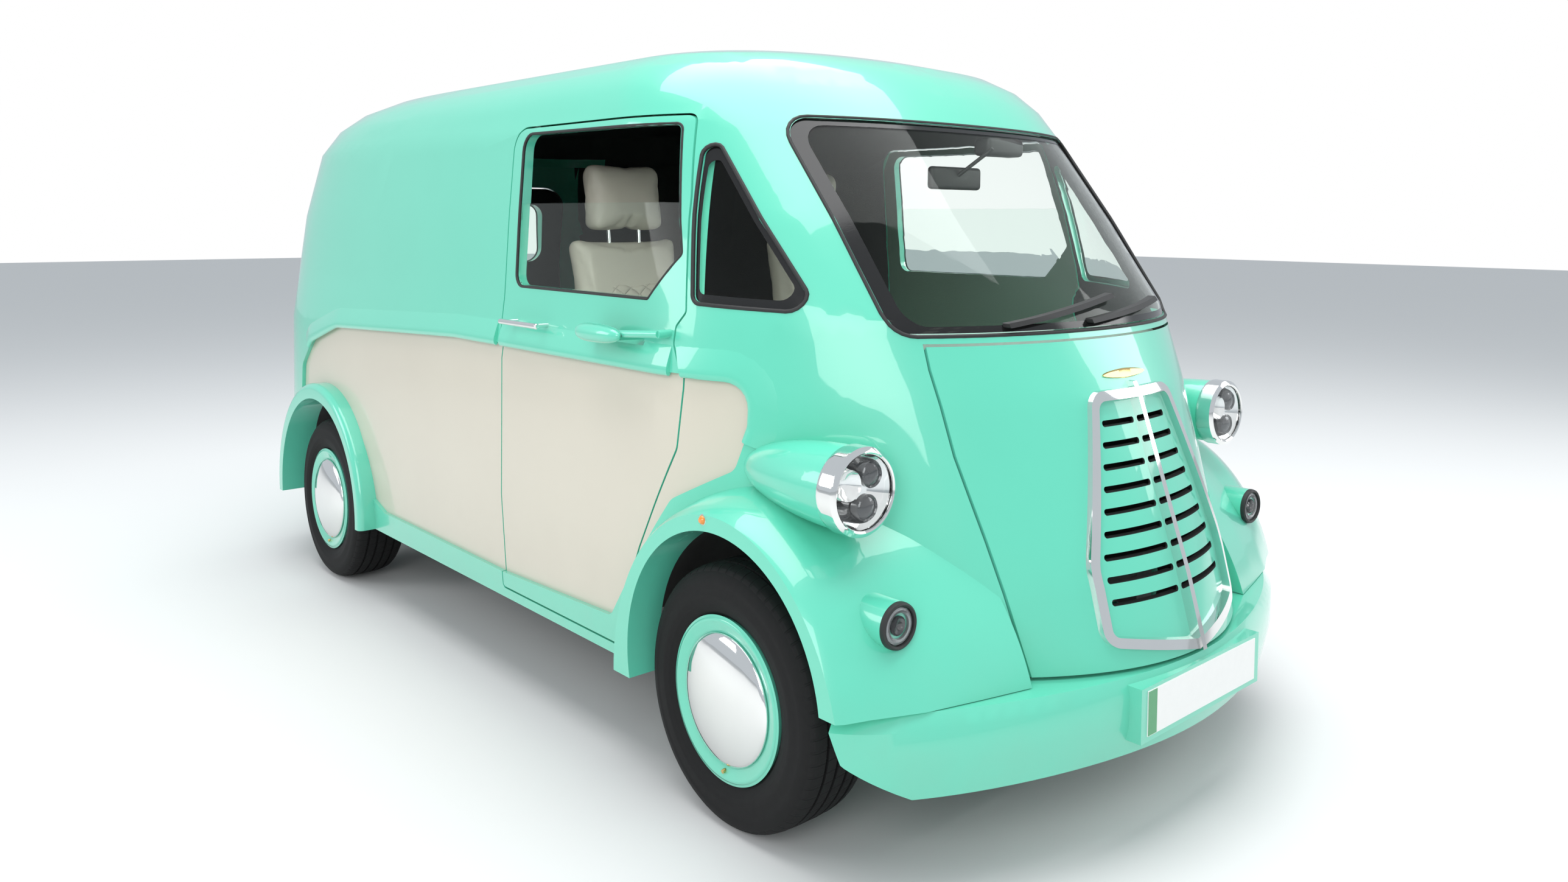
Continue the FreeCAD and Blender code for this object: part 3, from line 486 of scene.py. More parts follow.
SCREEN_SEAL = 0.0055
SCREEN_SEAL_MARGIN = 0.004
SCREEN_SEAL_SINK = 0.002
screen_edge = filled_loop(rounded_loop(SCREEN, SCREEN_CORNERS, SCREEN_SEAL_MARGIN))
tube("windscreen_seal", along_front(screen_edge, front_skin, -SCREEN_SEAL_SINK), SCREEN_SEAL, rubber_and_slot_shade,
     "van")
DOOR_WINDOW = [(-0.988, 1.786), (-1.075, 1.440), (-0.952, 1.318), (-0.206, 1.318), (-0.196, 1.792)]
DOOR_WINDOW_CORNERS = [0.022, 0.012, 0.012, 0.040, 0.050]
DOOR_SEAL = 0.005
DOOR_SEAL_SINK = 0.003
QUARTER = [(-1.060, 1.780), (-1.138, 1.316), (-1.462, 1.303)]
QUARTER_CORNERS = [0.022, 0.025, 0.030]
QUARTER_SEAL = 0.006
QUARTER_SEAL_SINK = 0.002
REAR_WINDOW = [(-0.470, 1.290), (-0.110, 1.290), (-0.110, 1.600), (-0.450, 1.600)]
REAR_WINDOW_CORNERS = [0.07] * 4
REAR_SEAL = 0.007
SEAL_MARGIN = 0.003
for side, word in SIDES:
    door_edge = filled_loop(rounded_loop(DOOR_WINDOW, DOOR_WINDOW_CORNERS, SEAL_MARGIN))
    door_bed = along_side(door_edge, skin("door_" + word), side, -DOOR_SEAL_SINK)
    tube("door_seal_" + word, door_bed, DOOR_SEAL, rubber_and_slot_shade, "door_" + word)
    quarter_edge = filled_loop(rounded_loop(QUARTER, QUARTER_CORNERS, SEAL_MARGIN))
    quarter_bed = along_side(quarter_edge, skin("body_side_" + word), side, -QUARTER_SEAL_SINK)
    tube("quarter_seal_" + word, quarter_bed, QUARTER_SEAL, rubber_and_slot_shade, "van")
    rear_outline = [(-side * x, z) for x, z in REAR_WINDOW]
    rear_edge = filled_loop(rounded_loop(rear_outline, REAR_WINDOW_CORNERS, SEAL_MARGIN))
    rear_skin = skin("rear_door_" + word)
    rear_bed = [rear_skin.ray_cast(Vector((point.x, BEHIND_VAN, point.y)), -REARWARDS)[0]
                for point in rear_edge]
    tube("rear_seal_" + word, [point for point in rear_bed if point], REAR_SEAL, rubber_and_slot_shade,
         "rear_door_" + word)

# Belt: a rolled swage in each side panel, proud of the skin, that overhangs the cream flank from the rear
# corner to its round front end. It is pressed with the panels and painted with them. Its section is given as
# (reach up from the flank's edge, rise from the skin), and it fades into the skin towards the nose.
FLANK_CORNERS = [0.040, 0.060, 0.075, 0.300, 0.300, 0.100, 0.060, 0.060, 0.060, 0.020, 0.020, 0.040, 0.060]
BELT_SECTION = [(0.004, -0.006), (-0.004, -0.004), (-0.009, 0.000), (-0.0095, 0.005), (-0.004, 0.0095),
                (0.006, 0.0115), (0.020, 0.0105), (0.040, 0.0070), (0.060, 0.0030), (0.076, -0.0015)]
BELT_LOW = 0.935
BELT_BED = 0.003
FADE_START = -1.24
FADE_LENGTH = 0.16
FADE_SHARE = 0.75
FAR = 9.0
PANEL_STOPS = {"rear": (-0.128, FAR), "door": (-FAR, -0.140), "front": (-FAR, -1.0)}
DOOR_BELT_START = -1.15
FRONT_BELT_END = -1.07
DOOR_FRONT = [(1.085, -1.126), (1.140, -1.122), (1.205, -1.088), (1.250, -1.090)]
SHUT_LINE = 0.0045


def door_front(height):
    """Place of the door's front edge at a height on the belt."""
    for (low, first), (high, second) in zip(DOOR_FRONT, DOOR_FRONT[1:]):
        if low <= height <= high:
            return first + (second - first) * (height - low) / (high - low)
    return DOOR_FRONT[0][1]


def face_outwards(merge=True):
    """Merges doubled points and turns every face of the picked piece outwards."""
    bpy.ops.object.mode_set(mode="EDIT")
    bpy.ops.mesh.select_all(action="SELECT")
    if merge:
        bpy.ops.mesh.remove_doubles(threshold=WELD)
    bpy.ops.mesh.normals_make_consistent(inside=False)
    bpy.ops.object.mode_set(mode="OBJECT")


def belt(name, panel, tree, side, body):
    """Rolled swage over one panel, laid on the skin along the flank's upper outline."""
    loop = filled_loop(rounded_loop(FLANK, FLANK_CORNERS), 0.03)
    path = [point for point in loop if point.y > BELT_LOW]
    low, high = PANEL_STOPS[panel]
    rows = []
    for before, point, after in zip(path, path[1:], path[2:]):
        along = (after - before).normalized()
        away = Vector((along.y, -along.x))
        level = abs(along.x) > 0.5
        if away.y < 0 and level or away.x > 0 and not level and point.x < 0:
            away = -away
        fade = 1 - FADE_SHARE * min(1, max(0, (FADE_START - point.x) / FADE_LENGTH))
        row = []
        for reach, rise in BELT_SECTION:
            spot = point + away * reach
            base = point + away * max(reach, BELT_BED)
            edge = door_front(spot.y)
            start = edge + SHUT_LINE if panel == "door" else low
            stop = edge - SHUT_LINE if panel == "front" else high
            spot.x = min(max(spot.x, start), stop)
            base.x = min(max(base.x, start), stop)
            beside = Vector((side * BESIDE_VAN, base.x + OFFSET, base.y))
            hit = tree.ray_cast(beside, Vector((-side, 0, 0)))[0]
            lift = rise * fade if rise > 0 else rise
            row.append(Vector((hit.x + side * lift, spot.x + OFFSET, spot.y)) if hit else None)
        past_door = panel == "door" and point.x <= DOOR_BELT_START
        short_of_front = panel == "front" and point.x >= FRONT_BELT_END
        if low <= point.x <= high and not past_door and not short_of_front and all(row):
            rows.append(row)
    mesh = bpy.data.meshes.new(name)
    count = len(BELT_SECTION)
    faces = [(count * i + j, count * i + j + 1, count * (i + 1) + j + 1, count * (i + 1) + j)
             for i in range(len(rows) - 1) for j in range(count - 1)]
    faces += [tuple(range(count)), tuple(range(count * len(rows) - 1, count * (len(rows) - 1) - 1, -1))]
    mesh.from_pydata([point for row in rows for point in row], [], faces)
    piece = new_piece(name, mesh)
    face_outwards()
    return shown(piece, mint_paint, body, 1.0)


for side, word in SIDES:
    panels = skin("body_side_" + word, "door_" + word)
    for panel, body in (("rear", "van"), ("door", "door_" + word), ("front", "van")):
        belt("belt_%s_%s" % (panel, word), panel, panels, side, body)

# Glazing: lightly green safety glass, with a black enamel band fired along the edges of the fixed panes.
# The windscreen and quarter panes are bonded in; the door and rear panes sit in their doors.


def let_light_in(material):
    """Lets shadow rays pass through a pane, so that daylight reaches what is behind it."""
    tree = material.node_tree
    path = add_node(tree, "LightPath")
    clear = add_node(tree, "BsdfTransparent")
    mix = add_node(tree, "MixShader")
    tree.links.new(path.outputs["Is Shadow Ray"], mix.inputs["Fac"])
    tree.links.new(tree.nodes["Principled BSDF"].outputs["BSDF"], mix.inputs[1])
    tree.links.new(clear.outputs["BSDF"], mix.inputs[2])
    tree.links.new(mix.outputs["Shader"], tree.nodes["Material Output"].inputs["Surface"])
    return material


glass = let_light_in(mottled_material("glass", (0.90, 0.97, 0.94), (0.88, 0.95, 0.92), 2, 0.0, Roughness=0.0,
                                      Transmission_Weight=1.0, IOR=1.18, Specular_IOR_Level=0.9))
enamel = mottled_material("enamel", (0.006, 0.006, 0.006), (0.012, 0.012, 0.012), 300, 0.05, Roughness=0.12)
for name in ("windscreen", "quarter_glass", "door_glass_right", "door_glass_left", "rear_glass_right",
             "rear_glass_left"):
    dress(name, glass)


def band(name, edge, centre, shares, place, material, body):
    """Flat band from a pane's edge inwards; each ring of points is drawn towards the centre."""
    rings = [place([point.lerp(centre, share) for point in edge]) for share in shares]
    count = min(len(ring) for ring in rings)
    mesh = bpy.data.meshes.new(name)
    vertices = [point for ring in rings for point in ring[:count]]
    faces = [(level * count + index, level * count + (index + 1) % count,
              (level + 1) * count + (index + 1) % count, (level + 1) * count + index)
             for level in range(len(rings) - 1) for index in range(count)]
    mesh.from_pydata(vertices, [], faces)
    piece = new_piece(name, mesh)
    face_outwards(merge=False)
    return shown(piece, material, body, 0.8)


GLASS_LIFT = 0.0008
SCREEN_MIDDLE = Vector((0, 1.53))
SCREEN_INSET = 0.003
SCREEN_RINGS = (0.0, 0.03, 0.06)
QUARTER_MIDDLE = Vector((-1.20, 1.46))
QUARTER_INSET = 0.002
QUARTER_RINGS = (0.0, 0.07, 0.14)
screen_tree = skin("windscreen")
pane_edge = filled_loop(rounded_loop(SCREEN, SCREEN_CORNERS, -SCREEN_INSET))
band("windscreen_frit", pane_edge, SCREEN_MIDDLE, SCREEN_RINGS,
     lambda loop: along_front(loop, screen_tree, GLASS_LIFT), enamel, "van")
quarter_tree = skin("quarter_glass")
for side, word in SIDES:
    quarter_pane = filled_loop(rounded_loop(QUARTER, QUARTER_CORNERS, -QUARTER_INSET))
    band("quarter_frit_" + word, quarter_pane, QUARTER_MIDDLE, QUARTER_RINGS,
         lambda loop: along_side(loop, quarter_tree, side, GLASS_LIFT), enamel, "van")

# Front lamps: a spun chrome ring round clear glass, with two dark projectors and a dished reflector behind
# it, and below on the wing a small parking lamp with a grey band round a dark lens, in a rubber ring.
chrome = mottled_material("chrome", (0.84, 0.84, 0.83), (0.80, 0.80, 0.79), 14, 0.008, Metallic=1.0,
                          Roughness=0.05)
lamp_glass = mottled_material("lamp_glass", (0.95, 0.97, 0.98), (0.93, 0.95, 0.96), 20, 0.0, Roughness=0.02,
                              Transmission_Weight=1.0, IOR=1.25)
let_light_in(lamp_glass)
dress("headlamp_bezels", chrome)
dress("lamp_lenses", lamp_glass)


def turn(name, profile, centre, axis, material, body, steps=64, smooth_angle=0.5):
    """Turns a profile of (place along the axis, radius) points about an axis through the centre."""
    axis = Vector(axis).normalized()
    out = axis.orthogonal().normalized()
    mesh = bpy.data.meshes.new(name)
    mesh.from_pydata([Vector(centre) + axis * along + out * radius for along, radius in profile],
                     [(index, index + 1) for index in range(len(profile) - 1)], [])
    piece = new_piece(name, mesh)
    bpy.ops.object.mode_set(mode="EDIT")
    bpy.ops.mesh.select_all(action="SELECT")
    bpy.ops.mesh.spin(steps=steps, angle=math.tau, center=centre, axis=axis)
    bpy.ops.object.mode_set(mode="OBJECT")
    face_outwards()
    return shown(piece, material, body, smooth_angle)


SIDELAMP = (0.804, -1.826 + OFFSET, 0.626)
SIDELAMP_RING = [(0.004, 0.044), (-0.002, 0.045), (-0.005, 0.049), (-0.002, 0.053), (0.004, 0.0545),
                 (0.010, 0.0545)]
SIDELAMP_INNER = [(0.0125, 0.0), (0.004, 0.010), (0.003, 0.018), (0.008, 0.022), (0.0125, 0.0225)]
SIDELAMP_BAND = [(0.0125, 0.028), (0.003, 0.030), (0.001, 0.036), (0.003, 0.042), (0.0125, 0.0435)]
HEADLAMP = (0.817, -1.724 + OFFSET, 0.913)
LAMP_RIM = [(0.006, 0.088), (-0.002, 0.089), (-0.005, 0.093), (-0.002, 0.098), (0.004, 0.1045),
            (0.012, 0.105), (0.040, 0.1045), (0.047, 0.105), (0.052, 0.1035)]
PROJECTOR = [(0.038, 0.030), (0.016, 0.031), (0.013, 0.0285), (0.017, 0.025), (0.013, 0.018),
             (0.0105, 0.009), (0.0098, 0.0)]
HIGH_BEAM = [(0.038, 0.0), (0.026, 0.012), (0.022, 0.024), (0.012, 0.034), (0.010, 0.036), (0.018, 0.0375),
             (0.038, 0.0375)]
PROJECTOR_PLACE = Vector((0.034, 0, 0.034))
LOW_PROJECTOR_PLACE = Vector((0.020, 0, -0.040))
HIGH_BEAM_PLACE = Vector((-0.042, 0, 0.020))
dark_glass = mottled_material("dark_glass", (0.02, 0.022, 0.025), (0.03, 0.032, 0.035), 30, 0.0,
                              Roughness=0.04, Coat_Weight=1.0)
lamp_grey = mottled_material("lamp_grey", (0.34, 0.35, 0.36), (0.22, 0.23, 0.24), 260, 0.4, Roughness=0.3,
                             Metallic=0.7)
for side, word in SIDES:
    spot = Vector((side * SIDELAMP[0], SIDELAMP[1], SIDELAMP[2]))
    turn("sidelamp_ring_" + word, SIDELAMP_RING, spot, REARWARDS, rubber_and_slot_shade, "van", 48)
    turn("sidelamp_lens_" + word, SIDELAMP_INNER, spot, REARWARDS, dark_glass, "van", 40)
    turn("sidelamp_band_" + word, SIDELAMP_BAND, spot, REARWARDS, lamp_grey, "van", 48)
    lamp = Vector((side * HEADLAMP[0], HEADLAMP[1], HEADLAMP[2]))
    turn("projector_" + word, PROJECTOR, lamp + PROJECTOR_PLACE, REARWARDS, dark_glass, "van", 40)
    turn("low_projector_" + word, PROJECTOR, lamp + LOW_PROJECTOR_PLACE, REARWARDS, dark_glass, "van", 40)
    turn("high_beam_" + word, HIGH_BEAM, lamp + HIGH_BEAM_PLACE, REARWARDS, chrome, "van", 40)
    turn("headlamp_rim_" + word, LAMP_RIM, lamp, REARWARDS, chrome, "van", 72)

# Grille: a chromed frame with its centre bar over the louvred panel, in the bonnet. Above it is a bare
# gilt plinth, where such a van carries a badge.
gilt = mottled_material("gilt", (0.75, 0.55, 0.22), (0.68, 0.50, 0.20), 40, 0.05, Metallic=1.0,
                        Roughness=0.18)
dress("grille_frame", chrome)
# The louvres' faces that don't face forward, the shelves and walls inside the slots, take the black rubber as
# painted shade, so that the slots read as dark gaps.
dress("grille_louvres", mint_paint, rubber_and_slot_shade)
FACING_FORWARD = -0.45
for face in nodes["grille_louvres"].data.polygons:
    if face.normal.y > FACING_FORWARD:
        face.material_index = 1
bonnet_tree = skin("bonnet")
BADGE_HALF = 0.095
BADGE_DEPTH = 0.013
BADGE_HEIGHT = 1.131
BADGE_STEPS = 16
BADGE_TAPER = 1.6
BADGE_TIP = 0.02
BADGE_SECTION = ((-1, -0.001), (-0.7, 0.004), (0.7, 0.004), (1, -0.001))


def badge():
    """A slim winged bar laid on the nose, tapering to each side."""
    rings = []
    for index in range(BADGE_STEPS + 1):
        across = -1 + 2 * index / BADGE_STEPS
        depth = BADGE_DEPTH * math.sqrt(max(BADGE_TIP, 1 - abs(across) ** BADGE_TAPER))
        ring = []
        for rise, lift in BADGE_SECTION:
            aim = Vector((BADGE_HALF * across, AHEAD_OF_VAN, BADGE_HEIGHT + rise * depth))
            ring.append(bonnet_tree.ray_cast(aim, REARWARDS)[0] - REARWARDS * lift)
        rings.append(ring)
    mesh = bpy.data.meshes.new("badge_plinth")
    faces = [(4 * i + j, 4 * i + j + 1, 4 * i + j + 5, 4 * i + j + 4)
             for i in range(BADGE_STEPS) for j in range(3)]
    faces += [(0, 1, 2, 3), tuple(4 * BADGE_STEPS + j for j in (3, 2, 1, 0))]
    mesh.from_pydata([point for ring in rings for point in ring], [], faces)
    return shown(new_piece("badge_plinth", mesh), gilt, "bonnet", 0.6)


badge()

# Wheels: pressed steel discs in the body's paint, with domed chrome caps, a rolled lip and a brass valve.
# The tyres are black rubber with ribbed walls and four grooves round the tread.
TYRE_RADIUS = 0.336
WHEEL_X = 0.820
AXLES = (("front", -1.335 + OFFSET), ("rear", 1.437 + OFFSET))
HUBCAP = [(0.090, 0.158), (0.096, 0.1655), (0.100, 0.1665), (0.1035, 0.1645), (0.108, 0.156), (0.1155, 0.136),
          (0.1230, 0.106), (0.1290, 0.070), (0.1320, 0.034), (0.1327, 0.0)]
RIM_LIP = [(0.096, 0.187), (0.1030, 0.191), (0.1062, 0.1975), (0.1040, 0.2045), (0.096, 0.2085)]
VALVE_CIRCLE = 0.179
VALVE_PLACE = 0.088
VALVE_LEAN = -0.15
VALVE = [(0.0, 0.0055), (0.012, 0.0050), (0.013, 0.0058), (0.021, 0.0052), (0.022, 0.0)]
TYRE_WALL = [(-0.086, 0.203), (-0.0985, 0.218), (-0.1045, 0.236), (-0.1058, 0.2375), (-0.1070, 0.252),
             (-0.1085, 0.2545), (-0.1078, 0.262), (-0.1078, 0.276), (-0.1060, 0.288), (-0.1068, 0.291),
             (-0.1045, 0.300), (-0.1010, 0.3115), (-0.0930, 0.3220), (-0.0840, 0.3285), (-0.0760, 0.3315)]
GROOVES = (-0.054, -0.019, 0.019, 0.054)
GROOVE_DEPTH = 0.007
GROOVE_TOP = 0.0045
GROOVE_BOTTOM = 0.0035
CROWN_FALL = 0.6


def tyre_profile():
    """Section of a tyre from bead to bead, with four grooves in the tread and ribs on the walls."""
    tread = []
    for groove in GROOVES:
        crown = TYRE_RADIUS - CROWN_FALL * groove ** 2
        floor = crown - GROOVE_DEPTH
        tread += [(groove - GROOVE_TOP, crown), (groove - GROOVE_BOTTOM, floor),
                  (groove + GROOVE_BOTTOM, floor), (groove + GROOVE_TOP, crown)]
    return TYRE_WALL + tread + [(-along, radius) for along, radius in reversed(TYRE_WALL)]


SIPE_COUNT = 64
SIPE_SKEW = 0.5
SIPE_DEPTH = 0.004
TREAD_EDGE = 0.318
TREAD_TOP = 0.326


def sipe(material, centre_y):
    """Cuts across the tread blocks, spaced round the axle."""
    tree = material.node_tree
    place = add_node(tree, "TexCoord")
    centred = add_node(tree, "Mapping", Location=(0, -centre_y, -TYRE_RADIUS))
    parts = add_node(tree, "SeparateXYZ")
    angle = add_math(tree, "ARCTAN2")
    skew = add_math(tree, "MULTIPLY_ADD", SIPE_SKEW)
    count = add_math(tree, "MULTIPLY", SIPE_COUNT)
    wave = add_math(tree, "SINE")
    cut = add_node(tree, "MapRange", From_Min=0.82, From_Max=0.95, To_Min=1, To_Max=0)
    radius = tree.nodes.new("ShaderNodeVectorMath")
    radius.operation = "LENGTH"
    flat = add_node(tree, "CombineXYZ")
    near_tread = add_node(tree, "MapRange", From_Min=TREAD_EDGE, From_Max=TREAD_TOP)
    depth = add_math(tree, "MULTIPLY")
    bump = add_node(tree, "Bump", Strength=1.0, Distance=SIPE_DEPTH)
    link = tree.links.new
    link(place.outputs["Object"], centred.inputs["Vector"])
    link(centred.outputs["Vector"], parts.inputs["Vector"])
    link(parts.outputs["Z"], angle.inputs[0])
    link(parts.outputs["Y"], angle.inputs[1])
    link(parts.outputs["X"], skew.inputs[0])
    link(angle.outputs["Value"], skew.inputs[2])
    link(skew.outputs["Value"], count.inputs[0])
    link(count.outputs["Value"], wave.inputs[0])
    link(wave.outputs["Value"], cut.inputs["Value"])
    link(parts.outputs["Y"], flat.inputs["Y"])
    link(parts.outputs["Z"], flat.inputs["Z"])
    link(flat.outputs["Vector"], radius.inputs[0])
    link(radius.outputs["Value"], near_tread.inputs["Value"])
    link(cut.outputs["Result"], depth.inputs[0])
    link(near_tread.outputs["Result"], depth.inputs[1])
    link(depth.outputs["Value"], bump.inputs["Height"])
    link(bump.outputs["Normal"], tree.nodes["Principled BSDF"].inputs["Normal"])
    return material


for end, axle in AXLES:
    rubber = mottled_material("tyre_rubber_" + end, (0.0040, 0.0040, 0.0045), (0.0075, 0.0075, 0.0075), 60,
                              0.1, Roughness=0.75, Specular_IOR_Level=0.3)
    sipe(rubber, axle)
    for side, word in SIDES:
        body = "wheel_%s_%s" % (end, word)
        centre = (side * WHEEL_X, axle, TYRE_RADIUS)
        outward = (side, 0, 0)
        tyre = turn("tyre_cover_%s_%s" % (end, word), tyre_profile(), centre, outward, rubber, body, 96, 0.7)
        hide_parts("tyre_%s_%s" % (end, word))
        dress("wheel_%s_%s" % (end, word), mint_paint)
        turn("hubcap_%s_%s" % (end, word), HUBCAP, centre, outward, chrome, body, 72, 1.0)
        turn("rim_lip_%s_%s" % (end, word), RIM_LIP, centre, outward, mint_paint, body, 96, 1.0)
        foot = Vector((side * (WHEEL_X + VALVE_PLACE), axle, TYRE_RADIUS - VALVE_CIRCLE))
        turn("valve_%s_%s" % (end, word), VALVE, foot, (side, 0, VALVE_LEAN), gilt, body, 16)

# Running gear below: welded steel rails, cross members, axle and knuckles in satin black, with the battery
# slung between the rails in a grey tray. The floor is steel, painted below and lined above.
satin_black = mottled_material("satin_black", (0.02, 0.02, 0.02), (0.035, 0.034, 0.032), 30, 0.15,
                               Roughness=0.5)
tray_grey = mottled_material("tray_grey", (0.30, 0.31, 0.32), (0.24, 0.25, 0.26), 24, 0.1, Metallic=0.6,
                             Roughness=0.45)
for name in ("frame_rails", "frame_crossmembers", "rear_axle", "knuckle_right", "knuckle_left"):
    dress(name, satin_black)
dress("battery_pack", tray_grey)
dress("floor_pan", satin_black, lining)
FLOOR_TOP = 0.3
for face in nodes["floor_pan"].data.polygons:
    if face.normal.z > FLOOR_TOP:
        face.material_index = 1

# Small outside fittings: the blank front plate with its green end stripe, round amber markers on the wing
# lips, door handles, rear lamps with chrome rings, and the wipers.
plate_white = mottled_material("plate_white", (0.82, 0.82, 0.80), (0.78, 0.78, 0.76), 40, 0.02,
                               Roughness=0.25, Coat_Weight=0.6)
plate_green = mottled_material("plate_green", (0.03, 0.30, 0.10), (0.03, 0.26, 0.09), 40, 0.02,
                               Roughness=0.25, Coat_Weight=0.6)
dress("plate_front", plate_white)


def slab(name, low, high, bevel, material, body, segments=3):
    """A block between two corners with rounded edges."""
    low, high = Vector(low), Vector(high)
    bpy.ops.object.select_all(action="DESELECT")
    bpy.ops.mesh.primitive_cube_add(size=1, location=(low + high) / 2, scale=high - low)
    piece = bpy.context.object
    piece.name = name
    bpy.ops.object.transform_apply(location=True, rotation=True, scale=True)
    bpy.ops.object.mode_set(mode="EDIT")
    bpy.ops.mesh.select_all(action="SELECT")
    bpy.ops.mesh.bevel(offset=bevel, segments=segments, affect="EDGES")
    bpy.ops.object.mode_set(mode="OBJECT")
    return shown(piece, material, body)


PLATE_FACE = -2.126 + OFFSET
STRIPE_LOW = (-0.2595, PLATE_FACE - 0.0006, 0.3055)
STRIPE_HIGH = (-0.222, PLATE_FACE + 0.001, 0.4145)
STRIPE_BEVEL = 0.0004
slab("plate_stripe", STRIPE_LOW, STRIPE_HIGH, STRIPE_BEVEL, plate_green, "van", 1)
for name in ("door_handle_right", "door_handle_left"):
    dress(name, chrome)
red_lens = mottled_material("red_lens", (0.5, 0.01, 0.01), (0.4, 0.01, 0.01), 60, 0.1, Roughness=0.12,
                            Coat_Weight=1.0)
dress("rear_lamps", red_lens)
dress("wipers", rubber_and_slot_shade)
amber = mottled_material("amber", (0.85, 0.28, 0.02), (0.75, 0.22, 0.02), 50, 0.1, Roughness=0.15,
                         Coat_Weight=1.0)
MARKER = (0.973, -1.316 + OFFSET, 0.797)
MARKER_PROFILE = [(-0.004, 0.011), (0.002, 0.0115), (0.006, 0.010), (0.0095, 0.006), (0.0105, 0.0)]
MARKER_RING = [(-0.004, 0.0145), (0.001, 0.0145), (0.0025, 0.0125), (0.0015, 0.0112)]
REAR_LAMP = (0.720, 0.760)
REAR_LAMP_RING = [(-0.03, 0.0455), (0.010, 0.0455), (0.012, 0.0475), (0.010, 0.0505), (-0.03, 0.0515)]
for side, word in SIDES:
    spot = Vector((side * MARKER[0], MARKER[1], MARKER[2]))
    outward = (side, 0, 0)
    turn("marker_" + word, MARKER_PROFILE, spot, outward, amber, "van", 24)
    turn("marker_ring_" + word, MARKER_RING, spot, outward, chrome, "van", 24)
    aim = Vector((side * REAR_LAMP[0], BEHIND_VAN, REAR_LAMP[1]))
    bed = skin("body_side_" + word).ray_cast(aim, -REARWARDS)[0]
    turn("rear_lamp_ring_" + word, REAR_LAMP_RING, bed, REARWARDS, chrome, "van", 40)

# Front bumper: one moulded beam in the body's paint, bolted under the nose. Its ends are trimmed forward
# towards the ground, as the line of the wheel arches goes on in it. Each trim has a point of its plane, as
# height and place, and its lean forward for each metre down.
BEAM_TRIMS = [(0.440, -1.747, 0.35), (0.330, -1.790, 1.15)]
beam = nodes["bumper_front"].copy()
beam.data = nodes["bumper_front"].data.copy()
beam.name = "bumper_cover"
beam.modifiers.clear()
bpy.context.scene.collection.objects.link(beam)
pick(beam)
bpy.ops.object.mode_set(mode="EDIT")
bpy.ops.mesh.select_all(action="SELECT")
bpy.ops.mesh.remove_doubles(threshold=WELD)
for height, place, lean in BEAM_TRIMS:
    bpy.ops.mesh.select_all(action="SELECT")
    bpy.ops.mesh.bisect(plane_co=(0, place + OFFSET, height), plane_no=(0, 1, -lean), use_fill=True,
                        clear_outer=True)
bpy.ops.object.mode_set(mode="OBJECT")
shown(beam, mint_paint, "van", 0.6)
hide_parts("bumper_front")

# Cab: a moulded grey-green dashboard, cream steering wheel, and cream hide seats whose cushions are
# stuffed and quilted, on painted plinths. A mirror hangs from the screen on a stalk.
dash_skin = mottled_material("dash_skin", (0.150, 0.215, 0.180), (0.135, 0.20, 0.165), 220, 0.3,
                             Roughness=0.55)
trim_cream = mottled_material("trim_cream", (0.66, 0.60, 0.49), (0.62, 0.56, 0.45), 40, 0.05, Roughness=0.35)
dress("dashboard", dash_skin)
dress("steering_wheel", trim_cream)
HIDE_COLOUR = (0.66, 0.61, 0.51, 1)
QUILT_PACE = 52
QUILT_PUFF = 0.35


def stitched_diamonds(tree, place):
    """Height of a quilt's puffs between two slanting sets of seams; returns its last node."""
    parts = add_node(tree, "SeparateXYZ")
    along = add_math(tree, "ADD")
    link = tree.links.new
    link(place.outputs["Object"], parts.inputs["Vector"])
    link(parts.outputs["Y"], along.inputs[0])
    link(parts.outputs["Z"], along.inputs[1])
    lower = add_math(tree, "MINIMUM")
    for index, slant in enumerate(("ADD", "SUBTRACT")):
        lean = add_math(tree, slant)
        pace = add_math(tree, "MULTIPLY", QUILT_PACE)
        wave = add_math(tree, "SINE")
        size = add_math(tree, "ABSOLUTE")
        link(parts.outputs["X"], lean.inputs[0])
        link(along.outputs["Value"], lean.inputs[1])
        link(lean.outputs["Value"], pace.inputs[0])
        link(pace.outputs["Value"], wave.inputs[0])
        link(wave.outputs["Value"], size.inputs[0])
        link(size.outputs["Value"], lower.inputs[index])
    puff = add_math(tree, "POWER", QUILT_PUFF)
    link(lower.outputs["Value"], puff.inputs[0])
    return puff


def hide_material(name, quilt):
    """Cream hide with a fine grain; the quilted panels add stitched diamonds."""
    material, tree, shader = new_material(name)
    set_inputs(shader, Roughness=0.5, Base_Color=HIDE_COLOUR)
    place = add_node(tree, "TexCoord")
    grain = add_node(tree, "TexVoronoi", Scale=420)
    fine = add_node(tree, "Bump", Strength=0.25, Distance=0.0006)
    tree.links.new(place.outputs["Object"], grain.inputs["Vector"])
    tree.links.new(grain.outputs["Distance"], fine.inputs["Height"])
    last = fine
    if quilt:
        last = add_node(tree, "Bump", Strength=0.9, Distance=0.006)
        tree.links.new(stitched_diamonds(tree, place).outputs["Value"], last.inputs["Height"])
        tree.links.new(fine.outputs["Normal"], last.inputs["Normal"])
    tree.links.new(last.outputs["Normal"], shader.inputs["Normal"])
    return material


hide = hide_material("hide", False)
quilted = hide_material("quilted_hide", True)
PRESSURE = 4.0
PUFF_FRAMES = 20
PUFF_LIMIT = 0.024
GRID = 0.0075
CUSHION_ROUNDING = 0.028


def limited(before, after, cap):
    """Keeps each point within a distance of where it was before the stuffing."""
    for old, vertex in zip(before, after):
        shift = vertex.co - old
        if shift.length > cap:
            vertex.co = old + shift * (cap / shift.length)


